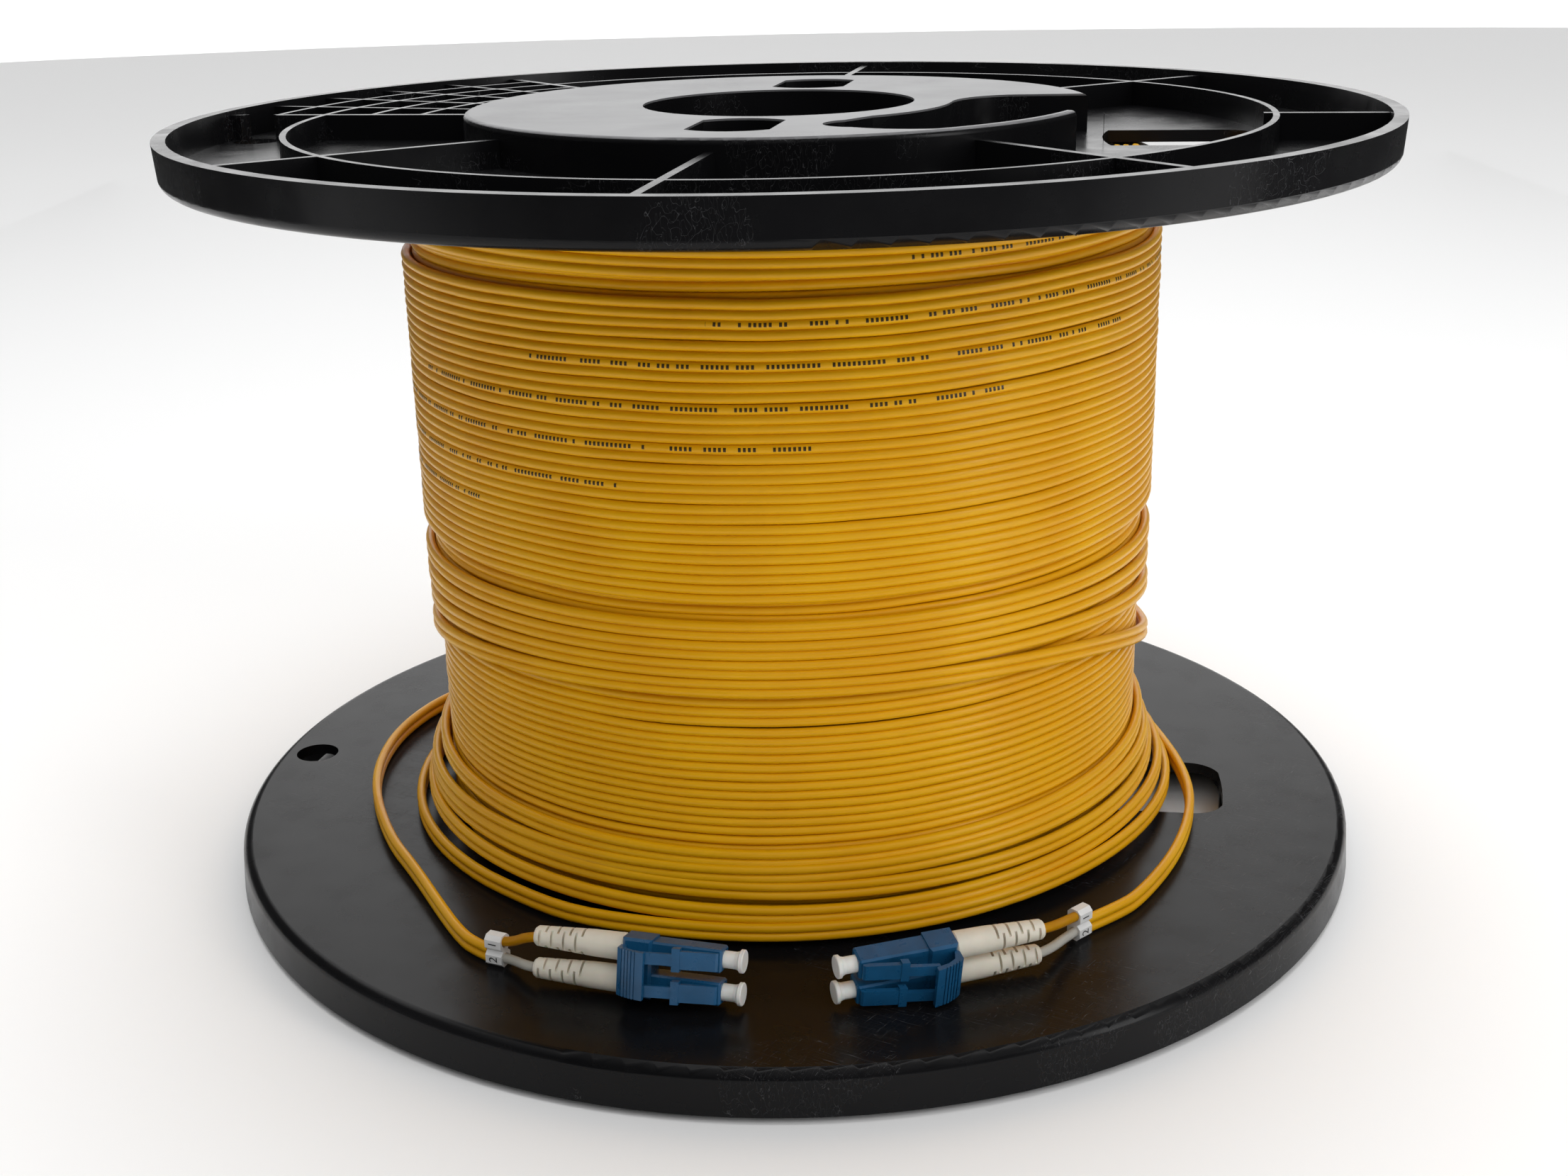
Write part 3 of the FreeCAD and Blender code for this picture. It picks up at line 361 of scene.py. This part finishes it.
def flange_material(name, colour):
    """Moulded black polystyrene: satin, with flow marks, fine scratches, and a lighter grey boss top that is
    partly real scuffing and partly a painted reflection.
    """
    material, tree, shader = new_material(name, colour, 0.3, Specular_IOR_Level=0.15)
    place = tree.nodes.new("ShaderNodeTexCoord").outputs["Object"]
    parts = add_node(tree, "ShaderNodeSeparateXYZ", Vector=place).outputs
    radius = math_node(tree, "SQRT", math_node(tree, "ADD", math_node(tree, "MULTIPLY", parts[0], parts[0]),
                                               math_node(tree, "MULTIPLY", parts[1], parts[1])))
    # The boss top, down to this depth, is painted a lighter grey: partly real scuffs, partly a painted
    # reflection of the white studio.
    boss_radius, scuff_and_sheen_depth = 66.5 * MM, 0.4 * MM
    on_boss = math_node(tree, "MULTIPLY", math_node(tree, "GREATER_THAN", parts[2], REEL_TOP - scuff_and_sheen_depth),
                        math_node(tree, "LESS_THAN", radius, boss_radius))
    scratches = scratch_mask(tree)
    cloud = between(tree, noise_value(tree, 18.0, 4.0), 0.35, 0.7)
    greyed = [channel * 1.9 for channel in colour]
    worn = mix_colour(tree, math_node(tree, "MULTIPLY", cloud, 0.6), colour, greyed)
    scratched = mix_colour(tree, math_node(tree, "MULTIPLY", scratches, 0.35), worn, (0.12, 0.12, 0.125))
    # Painted reflection mixed with scuffing: this grey is lighter than worn black plastic, standing in for
    # the white studio mirrored at a grazing angle.
    scuff_and_sheen_tone = mix_colour(tree, between(tree, noise_value(tree, 60.0, 5.0), 0.3, 0.75), (0.1, 0.1, 0.104),
                           (0.17, 0.17, 0.175))
    tone = mix_colour(tree, on_boss, scratched, scuff_and_sheen_tone)
    tree.links.new(tone, shader.inputs["Base Color"])
    satin = between(tree, noise_value(tree, 120.0, 4.0), 0.3, 0.7, 0.2, 0.3)
    chalked = math_node(tree, "MULTIPLY", on_boss, 0.32)
    tree.links.new(math_node(tree, "MAXIMUM", satin, chalked), shader.inputs["Roughness"])
    grain = add_bump(tree, shader, noise_value(tree, 2600.0), 0.01 * MM, 0.35)
    flow = add_bump(tree, shader, noise_value(tree, 30.0), 0.2 * MM, 0.1, grain)
    add_bump(tree, shader, scratches, -0.02 * MM, 0.6, flow)
    return material


def scratch_mask(tree):
    """Thin scattered scratches in two directions."""
    masks = []
    line_width, scratched_share = 0.0035, 0.56
    for turn, stretch in ((0.5, (9.0, 190.0, 60.0)), (-0.9, (12.0, 240.0, 60.0))):
        place = tree.nodes.new("ShaderNodeTexCoord").outputs["Object"]
        turned = add_node(tree, "ShaderNodeMapping", Vector=place, Rotation=(0.0, 0.0, turn)).outputs[0]
        scaled = add_node(tree, "ShaderNodeMapping", Vector=turned, Scale=stretch).outputs[0]
        lines = add_node(tree, "ShaderNodeTexNoise", Vector=scaled, Scale=7.0, Detail=1.0).outputs[0]
        line = math_node(tree, "LESS_THAN", distance_from(tree, lines, 0.5), line_width)
        place_mask = math_node(tree, "GREATER_THAN", noise_value(tree, 26.0, 1.0), scratched_share)
        masks.append(math_node(tree, "MULTIPLY", line, place_mask))
    return math_node(tree, "MAXIMUM", masks[0], masks[1])


def moulded_material(name, colour, roughness, patch=0.12, **sockets):
    """Small moulded pieces: even colour with faint clouding, fine grain and soft gloss changes."""
    material, tree, shader = new_material(name, colour, roughness, **sockets)
    shade = [channel * (1.0 - patch) for channel in colour]
    tone = mix_colour(tree, between(tree, noise_value(tree, 220.0, 3.0), 0.3, 0.7), colour, shade)
    tree.links.new(tone, shader.inputs["Base Color"])
    gloss = between(tree, noise_value(tree, 500.0, 3.0), 0.3, 0.7, roughness * 0.85, roughness * 1.2)
    tree.links.new(gloss, shader.inputs["Roughness"])
    add_bump(tree, shader, noise_value(tree, 3200.0), 0.01 * MM, 0.3)
    return material


def metal_material(name, colour, roughness):
    """Plain metal with soft changes in its polish."""
    material, tree, shader = new_material(name, colour, roughness, Metallic=1.0)
    gloss = between(tree, noise_value(tree, 900.0, 3.0), 0.3, 0.7, roughness * 0.8, roughness * 1.3)
    tree.links.new(gloss, shader.inputs["Roughness"])
    return material


def make_materials():
    """Every material, by its slot's name."""
    yellow, deep = (0.78, 0.405, 0.002), (0.72, 0.34, 0.0015)
    return {
        "flange_plastic": flange_material("flange_plastic", (0.0045, 0.0045, 0.005)),
        "cord_jacket": jacket_material("cord_jacket", yellow, deep, marks=True),
        "leg_jacket_yellow": jacket_material("leg_jacket_yellow", yellow, deep),
        "leg_jacket_white": jacket_material("leg_jacket_white", (0.78, 0.76, 0.7), (0.72, 0.7, 0.63)),
        "marker_sleeve": moulded_material("marker_sleeve", (0.82, 0.82, 0.81), 0.42),
        "boot_ivory": moulded_material("boot_ivory", (0.75, 0.7, 0.59), 0.45, Subsurface_Weight=0.15,
                                       Subsurface_Scale=0.001),
        "plug_blue": moulded_material("plug_blue", (0.009, 0.09, 0.21), 0.3, 0.25),
        "cap_white": moulded_material("cap_white", (0.8, 0.8, 0.77), 0.38, Subsurface_Weight=0.2,
                                      Subsurface_Scale=0.001),
        "crimp_metal": metal_material("crimp_metal", (0.6, 0.58, 0.54), 0.3),
        "spring_steel": metal_material("spring_steel", (0.55, 0.55, 0.56), 0.28),
        "ferrule_ceramic": moulded_material("ferrule_ceramic", (0.86, 0.86, 0.84), 0.15, 0.04),
        "ink": moulded_material("ink", (0.02, 0.02, 0.02), 0.5),
    }


def paint(item, material):
    """Gives the item this one material."""
    item.data.materials.clear()
    item.data.materials.append(material)


# ---------------------------------------------------------------- free ends of the cord

# Corners of each free end's route over the flange, in mm, from the back to the marker sleeves.
TAIL_ROUTES = {
    "left": [(-53.2, 71.6), (-72.0, 59.5), (-88.5, 44.0), (-96.8, 25.0), (-98.8, 5.0), (-96.3, -14.0),
             (-88.6, -36.5), (-80.4, -51.5), (-71.8, -69.2), (-67.4, -77.6), (-63.9, -82.8),
             (-59.9, -85.9)],
    "right": [(63.8, 62.3), (77.3, 46.0), (85.4, 28.0), (88.6, 9.0), (90.4, -10.0), (88.8, -28.5),
              (81.2, -50.5), (69.8, -69.5), (63.6, -75.2), (57.2, -79.8)],
}


def nurbs_route(name, points):
    """An open NURBS spline through space whose control points are the route's points."""
    data = bpy.data.curves.new(name, "CURVE")
    data.dimensions = "3D"
    data.resolution_u = 24
    spline = data.splines.new("NURBS")
    spline.points.add(len(points) - 1)
    for point, place in zip(spline.points, points):
        point.co = (*place, 1.0)
    spline.order_u = 3
    spline.use_endpoint_u = True
    return add_object(name, data)


def route_points(route):
    """Points on the spline, as Blender evaluates it with no bevel."""
    bpy.context.view_layer.update()
    mesh = bpy.data.meshes.new_from_object(route.evaluated_get(bpy.context.evaluated_depsgraph_get()))
    points = [tuple(vertex.co) for vertex in mesh.vertices]
    bpy.data.meshes.remove(mesh)
    return points


def tail_end(side, height):
    """Where the free end's route stops, at the marker sleeves, taken at this height."""
    x, y = TAIL_ROUTES[side][-1]
    return Vector((x * MM, y * MM, height))


def add_tail(name, corners, laid, materials):
    """A free end of the cord, standing on edge on the flange. Returns the piece and its path."""
    height = FLANGE_FACE + LEG_PITCH / 2 + LEG_RADIUS + 0.02 * MM
    route = nurbs_route(name + "_route", [(x * MM, y * MM, height) for x, y in corners])
    points = route_points(route)
    piece = grow(name + "_cord", laid, Route=route, Leg_Radius=LEG_RADIUS, Leg_Pitch=LEG_PITCH * 1.02,
                 Web_Radius=0.45 * MM, Sides=20, Material=materials["cord_jacket"])
    bpy.data.objects.remove(route)
    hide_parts(name)
    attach(piece, "reel")
    return piece, points


# ---------------------------------------------------------------- winding

def add_layer(name, layers, radius, foot, top, turns, materials, seed, points, drift=1.2 * MM, sides=8):
    """One layer of the winding between two heights, its cord's middle at this radius."""
    rise = top - foot - CORD_PITCH
    return grow(name, layers, Turns=turns, Radius=radius, Foot=foot + CORD_PITCH / 2, Rise=rise,
                Points_Per_Turn=points, Drift=drift, Bulge=0.5 * MM, Jitter=0.9 * MM, Seed=seed,
                Leg_Radius=LEG_RADIUS, Leg_Pitch=rise / turns / 2, Web_Radius=0.3 * MM, Sides=sides,
                Material=materials["cord_jacket"])


def join_pieces(name, pieces):
    """Joins the pieces into the first, under a new name."""
    bpy.ops.object.select_all(action="DESELECT")
    for piece in pieces:
        piece.select_set(True)
    bpy.context.view_layer.objects.active = pieces[0]
    bpy.ops.object.join()
    pieces[0].name = name
    return pieces[0]


def add_winding(layers, laid, materials, tails):
    """The full layer under the last one, the ends of the deeper ones, the last layer and the loose turns."""
    under = FULL_RADIUS - LEG_RADIUS
    full = (UPPER_FACE - FLANGE_FACE) / CORD_PITCH - 1
    pack = add_layer("wound_pack", layers, under, FLANGE_FACE, UPPER_FACE, full, materials, 3.0, points=112)
    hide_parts("inner_pack")
    deeper = []
    band = (HIDDEN_TURNS + 1) * CORD_PITCH
    layer = 1
    while under - layer * 2 * LEG_RADIUS > BARREL_RADIUS:
        radius = under - layer * 2 * LEG_RADIUS
        for end, foot in (("foot", FLANGE_FACE), ("top", UPPER_FACE - band)):
            deeper.append(add_layer(f"layer_{layer}_{end}", layers, radius, foot, foot + band, HIDDEN_TURNS,
                                    materials, 5.0 + layer, points=60, drift=0.2 * MM, sides=7))
        layer += 1
    deeper = join_pieces("deeper_layers", deeper)

    neat_top = EDGE_TURNS_TOP + (NEAT_TURNS + 1) * CORD_PITCH
    last = add_layer("last_layer_turns", layers, LAST_RADIUS - LEG_RADIUS, EDGE_TURNS_TOP, neat_top,
                     NEAT_TURNS, materials, 11.0, points=130, sides=10)
    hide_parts("last_layer")

    loose = join_pieces("slack_turns", [add_top_turns(laid, materials, neat_top),
                                        add_edge_turns(laid, materials)])
    base = add_base_turns(laid, materials, tails)
    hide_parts("base_turns")
    for piece in (pack, deeper, last, loose, base):
        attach(piece, "reel")


def poly_route(name, points):
    """An open spline that runs straight from point to point."""
    data = bpy.data.curves.new(name, "CURVE")
    data.dimensions = "3D"
    spline = data.splines.new("POLY")
    spline.points.add(len(points) - 1)
    for point, place in zip(spline.points, points):
        point.co = (*place, 1.0)
    return add_object(name, data)


def turn_points(turns, radius_at, height_at):
    """Points of a cord wound from the back of the reel, its radius and height following the turn."""
    points = []
    for index in range(int(turns * STEPS_PER_TURN) + 1):
        turn = index / STEPS_PER_TURN
        angle = math.pi / 2 + 2 * math.pi * turn
        radius = radius_at(turn)
        points.append(Vector((radius * math.cos(angle), radius * math.sin(angle), height_at(turn))))
    return points


def bridge(first, first_heading, last, last_heading, steps=40):
    """Points of a smooth bend between two places, without the last; longer headings make it stiffer."""
    points = []
    for index in range(steps):
        t = index / steps
        points.append((2 * t ** 3 - 3 * t ** 2 + 1) * first + (t ** 3 - 2 * t ** 2 + t) * first_heading
                      + (3 * t ** 2 - 2 * t ** 3) * last + (t ** 3 - t ** 2) * last_heading)
    return points


def tuck(turn, end, depth=3.3 * MM, reach=0.06):
    """How far a cord dives into the winding near its end, so that no cut end shows."""
    return -depth * max(0.0, 1.0 - abs(turn - end) / reach) ** 2


def lay_cord(name, laid, materials, points, before=0.0):
    """A cord laid along these points."""
    route = poly_route(name + "_route", points)
    piece = grow(name, laid, Route=route, Leg_Radius=LEG_RADIUS, Leg_Pitch=LEG_PITCH, Web_Radius=0.35 * MM,
                 Sides=12, Length_Before=before, Material=materials["cord_jacket"])
    bpy.data.objects.remove(route)
    return piece


def wave(turn, *parts):
    """A sum of slow waves: each part is (size in mm, waves in one turn, phase)."""
    return sum(size * MM * math.sin(2 * math.pi * count * turn + phase) for size, count, phase in parts)


def swells(turn, *parts):
    """A sum of smooth swells: each part is (turn of its middle, half width in turns, size in mm)."""
    return sum(size * MM * math.exp(-((turn - middle) / width) ** 2) for middle, width, size in parts)


# In the three functions below a quarter turn from the start is the reel's -X side, half a turn the
# side of the connectors, and three quarters the +X side.

def add_top_turns(laid, materials, foot):
    """The slack turns between the neat part of the last layer and the upper flange."""
    climb = (UPPER_FACE - foot - CORD_PITCH) / TOP_TURNS

    def radius(turn):
        return LAST_RADIUS - LEG_RADIUS + wave(turn, (0.25, 0.8, 0.4)) + tuck(turn, TOP_TURNS) + swells(
            turn, (0.3, 0.13, 0.6), (1.32, 0.12, 1.3), (2.24, 0.1, 1.0))

    def height(turn):
        settle = swells(turn, (0.27, 0.12, 1.3), (0.55, 0.09, -0.6), (1.28, 0.13, 2.3), (1.62, 0.08, -0.8),
                        (2.3, 0.14, 0.9), (2.7, 0.1, -0.7))
        return foot + CORD_PITCH / 2 + climb * turn + settle

    return lay_cord("slack_top", laid, materials, turn_points(TOP_TURNS, radius, height), before=0.369)


def add_edge_turns(laid, materials):
    """The lowest turns of the last layer, which sag at both sides; the first one crosses the layer below."""
    sags = [(0.22, 0.12, -8.5), (0.78, 0.12, -19.0), (1.22, 0.12, -5.4), (1.78, 0.12, -8.6),
            (2.22, 0.12, -3.2), (2.78, 0.12, -5.2), (3.22, 0.12, -1.5), (3.78, 0.12, -2.6)]

    def radius(turn):
        return LAST_RADIUS - LEG_RADIUS + tuck(turn, 0.0) + tuck(turn, EDGE_TURNS) + swells(
            turn, (0.76, 0.07, 0.7)) + wave(turn, (0.12, 1.3, 0.9))

    def height(turn):
        return EDGE_TURNS_TOP + CORD_PITCH * (turn - EDGE_TURNS - 0.25) + swells(turn, *sags)

    return lay_cord("layer_edge", laid, materials, turn_points(EDGE_TURNS, radius, height))


def add_base_turns(laid, materials, tails):
    """The loose turns round the winding's foot: the lowest is the widest and lies on the flange.

    The right tail runs on into the lowest turn, and the left one passes over it into the winding.
    """
    bulges = [(0.27, 0.11, 3.6), (0.41, 0.025, 0.6), (0.77, 0.11, 4.6), (1.27, 0.1, 1.0), (1.77, 0.1, 2.9),
              (2.24, 0.08, 0.8), (2.79, 0.07, 1.3), (3.28, 0.09, 1.5), (3.74, 0.06, 0.8)]

    def bulge(turn):
        return swells(turn, *bulges)

    stand_off, narrowing, climb, droop = 5.0 * MM, 0.8 * MM, 3.7 * MM, 0.6

    def radius(turn):
        plain = FULL_RADIUS + stand_off - narrowing * turn + bulge(turn)
        return plain + wave(turn, (0.25, 2.3, 0.5)) + tuck(turn, BASE_TURNS, 3.6 * MM, 0.14)

    def height(turn):
        rest = FLANGE_FACE + LEG_PITCH / 2 + LEG_RADIUS
        lift = climb * turn - droop * bulge(turn) + min(turn, 1.0) * wave(turn, (0.6, 1.7, 0.8))
        return rest + max(lift, 0.0)

    wound = turn_points(BASE_TURNS, radius, height)
    left, right = ([Vector(point) for point in tails[side][:2]] for side in ("left", "right"))
    gap = (wound[0] - right[0]).length
    lead = bridge(right[0], (right[0] - right[1]).normalized() * gap, wound[0],
                  (wound[1] - wound[0]).normalized() * gap)
    angle, depth, rise = math.radians(60.0), 2.6 * MM, 9.0 * MM       # where the left one dives in
    inside = (FULL_RADIUS - depth) * Vector((math.cos(angle), math.sin(angle), 0.0))
    inside.z = left[0].z + rise
    gap = (inside - left[0]).length
    root = bridge(left[0], (left[0] - left[1]).normalized() * gap, inside,
                  Vector((math.sin(angle), -math.cos(angle), 0.0)) * gap)
    return join_pieces("base_loops", [lay_cord("base_wound", laid, materials, lead + wound),
                                      lay_cord("base_root", laid, materials, root)])


# ---------------------------------------------------------------- connector ends

def end_axis(side):
    """Direction along the plugs towards their front faces, from the dust cap's joint."""
    joint = next(item for item in frame["record"]["behaviour"]["joints"]
                 if item["name"] == f"{side}_dust_cap_1_pull")
    return Vector(joint["axis"])


def box_centre(node):
    """Middle of a CAD node's box."""
    low, high = (Vector(corner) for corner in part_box(node))
    return (low + high) / 2


def add_leg(side, leg, laid, materials):
    """The single leg between its marker sleeve and its boot."""
    direction = end_axis(side)
    boot = box_centre(f"{side}_boot_{leg}")
    marker = box_centre(f"{side}_marker_{leg}")
    boot_tail = boot - direction * BOOT_HALF_LENGTH
    through = (marker - tail_end(side, marker.z)).normalized()
    points = [marker - through * 1.5 * MM, marker + through * 2.6 * MM, boot_tail - direction * 1.2 * MM,
              boot_tail + direction * 3.0 * MM]
    route = nurbs_route(f"{side}_leg_{leg}_route", points)
    slot_name = "leg_jacket_yellow" if leg == 1 else "leg_jacket_white"
    piece = grow(f"{side}_single_leg_{leg}", laid, Route=route, Leg_Radius=BARE_LEG_RADIUS, Leg_Pitch=0.0,
                 Web_Radius=0.4 * MM, Sides=20, Material=materials[slot_name])
    bpy.data.objects.remove(route)
    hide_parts(f"{side}_leg_{leg}")
    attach(piece, "reel")
    return piece


def add_marker_digit(side, leg, materials):
    """The leg's number, lying sideways on the outer face of its sleeve."""
    data = bpy.data.curves.new(f"{side}_digit_{leg}", "FONT")
    data.body = str(leg)
    data.size = DIGIT_SIZE
    data.align_x = "CENTER"
    data.align_y = "CENTER"
    text = add_object(f"{side}_digit_{leg}_text", data)
    marker = box_centre(f"{side}_marker_{leg}")
    along = (marker - tail_end(side, marker.z)).normalized()
    outward = Vector((along.y, -along.x, 0.0))
    if outward.y > 0:
        outward = -outward
    up = Vector((0.0, 0.0, 1.0))
    right = up.cross(outward)
    turned = Matrix((up, -right, outward)).transposed()
    place = marker + outward * (SLEEVE_HALF_HEIGHT + DIGIT_PROUD)
    text.matrix_world = Matrix.Translation(place) @ turned.to_4x4()
    bpy.context.view_layer.update()
    mesh = bpy.data.meshes.new_from_object(text.evaluated_get(bpy.context.evaluated_depsgraph_get()))
    mesh.transform(text.matrix_world)
    bpy.data.objects.remove(text)
    digit = add_object(f"{side}_digit_{leg}", mesh)
    paint(digit, materials["ink"])
    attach(digit, "reel")
    return digit


def soften(item, width):
    """Rounds a CAD node's sharp edges with a bevel modifier."""
    bevel = item.modifiers.new("soft_edges", "BEVEL")
    bevel.width = width
    bevel.segments = 2
    bevel.limit_method = "ANGLE"
    bevel.angle_limit = math.radians(35.0)


def finish_nodes(materials):
    """Every CAD node gets its material, and the small parts at the connectors get soft edges."""
    for entry in frame["record"]["subparts"]:
        item = frame["nodes"][entry["node"]]
        paint(item, materials[entry["material_slot"]])
    for side in ("left", "right"):
        for leg in (1, 2):
            for kind, width in (("plug_housing", 0.12), ("latch", 0.12), ("boot", 0.1), ("marker", 0.2),
                                ("dust_cap", 0.1)):
                soften(frame["nodes"][f"{side}_{kind}_{leg}"], width * MM)
        soften(frame["nodes"][f"{side}_clip"], 0.15 * MM)
        soften(frame["nodes"][f"{side}_trigger"], 0.12 * MM)


# ---------------------------------------------------------------- floor and light

def add_floor():
    """A plain pale floor under the reel."""
    data = bpy.data.meshes.new("floor")
    reach = 3.0
    data.from_pydata([(-reach, -reach, 0), (reach, -reach, 0), (reach, reach, 0), (-reach, reach, 0)], [],
                     [(0, 1, 2, 3)])
    floor = add_object("floor", data)
    material, _, _ = new_material("floor", (0.93, 0.93, 0.93), 0.7, Specular_IOR_Level=0.2)
    paint(floor, material)


def add_backdrop():
    """A white wall all round, seen only directly, so that every view has the same pale studio."""
    sides, radius, height = 48, 2.9, 3.0
    ring = [(radius * math.cos(2 * math.pi * i / sides), radius * math.sin(2 * math.pi * i / sides))
            for i in range(sides)]
    data = bpy.data.meshes.new("backdrop")
    data.from_pydata([(x, y, z) for z in (0.0, height) for x, y in ring], [],
                     [((i + 1) % sides, i, sides + i, sides + (i + 1) % sides) for i in range(sides)])
    backdrop = add_object("backdrop", data)
    material, _, _ = new_material("backdrop", (0.9, 0.9, 0.9), 0.9, Emission_Strength=1.0)
    paint(backdrop, material)
    backdrop.visible_diffuse = False
    backdrop.visible_glossy = False
    backdrop.visible_shadow = False


def add_area_light(name, place, target, size, power, gleam=True):
    """A soft box; one without gleam lights the surfaces but leaves no highlight on them."""
    data = bpy.data.lights.new(name, "AREA")
    data.shape = "RECTANGLE"
    data.size, data.size_y = size
    data.energy = power
    light = add_object(name, data)
    light.visible_glossy = gleam
    light.location = place
    light.rotation_euler = (Vector(target) - Vector(place)).to_track_quat("-Z", "Y").to_euler()


def add_flag(name, corners):
    """A dark studio flag near the reel, seen only in its gloss."""
    data = bpy.data.meshes.new(name)
    data.from_pydata(corners, [], [(0, 1, 2, 3)])
    flag = add_object(name, data)
    material, _, _ = new_material(name, (0.02, 0.02, 0.02), 0.9)
    paint(flag, material)
    flag.visible_camera = False
    flag.visible_diffuse = False
    flag.visible_shadow = False


def add_world():
    """A studio that is white behind and above the object and dark in front of it."""
    world = bpy.data.worlds.new("studio")
    world.use_nodes = True
    tree = world.node_tree
    direction = tree.nodes.new("ShaderNodeTexCoord").outputs["Generated"]
    parts = add_node(tree, "ShaderNodeSeparateXYZ", Vector=direction).outputs
    behind = between(tree, parts[1], 0.0, 0.6, 0.0, 1.0)
    above = between(tree, parts[2], 0.55, 0.95, 0.0, 0.4)
    sides = between(tree, math_node(tree, "ABSOLUTE", parts[0]), 0.6, 0.98, 0.0, 0.12)
    light = math_node(tree, "MAXIMUM", behind, math_node(tree, "MAXIMUM", above, sides))
    strength = between(tree, light, 0.0, 1.0, 0.03, 1.5)
    backdrop = tree.nodes["Background"]
    backdrop.inputs["Color"].default_value = (1.0, 1.0, 1.0, 1.0)
    tree.links.new(strength, backdrop.inputs["Strength"])
    bpy.context.scene.world = world


def add_lights():
    """The world, three soft boxes and the flags that keep the rims dark."""
    add_world()
    middle = (0.0, 0.0, REEL_TOP / 2)
    add_area_light("key", (1.02, -0.62, 0.55), middle, (0.3, 0.9), 4.2)
    add_area_light("front_fill", (0.2, -1.0, 0.9), middle, (1.3, 0.8), 5.2, gleam=False)
    add_area_light("top", (0.0, 0.1, 1.3), middle, (1.0, 1.0), 7.0)
    for name, x in (("left_flag", -0.55), ("right_flag", 0.55)):
        add_flag(name, [(x, -0.1, 0.0), (x, 1.2, 0.0), (x, 1.2, 0.6), (x, -0.1, 0.6)])
    add_flag("front_flag", [(-1.5, -2.5, 0.002), (1.5, -2.5, 0.002), (1.5, -0.4, 0.002), (-1.5, -0.4, 0.002)])


# ---------------------------------------------------------------- the scene

def build():
    """Everything, in the order in which the pieces need each other."""
    add_camera()
    materials = make_materials()
    zipcord = zipcord_group()
    layers, laid = layer_group(zipcord), route_group(zipcord)
    finish_nodes(materials)
    tails = {}
    for side, corners in TAIL_ROUTES.items():
        piece, points = add_tail(f"{side}_tail", corners, laid, materials)
        held = []
        for leg in (1, 2):
            held.append(add_leg(side, leg, laid, materials))
            held.append(add_marker_digit(side, leg, materials))
            held += [f"{side}_{kind}_{leg}" for kind in ("marker", "boot", "plug_housing", "latch",
                                                         "dust_cap")]
        held += [f"{side}_clip", f"{side}_trigger"]
        tails[side] = points
    add_winding(layers, laid, materials, tails)
    add_floor()
    add_backdrop()
    add_lights()


build()
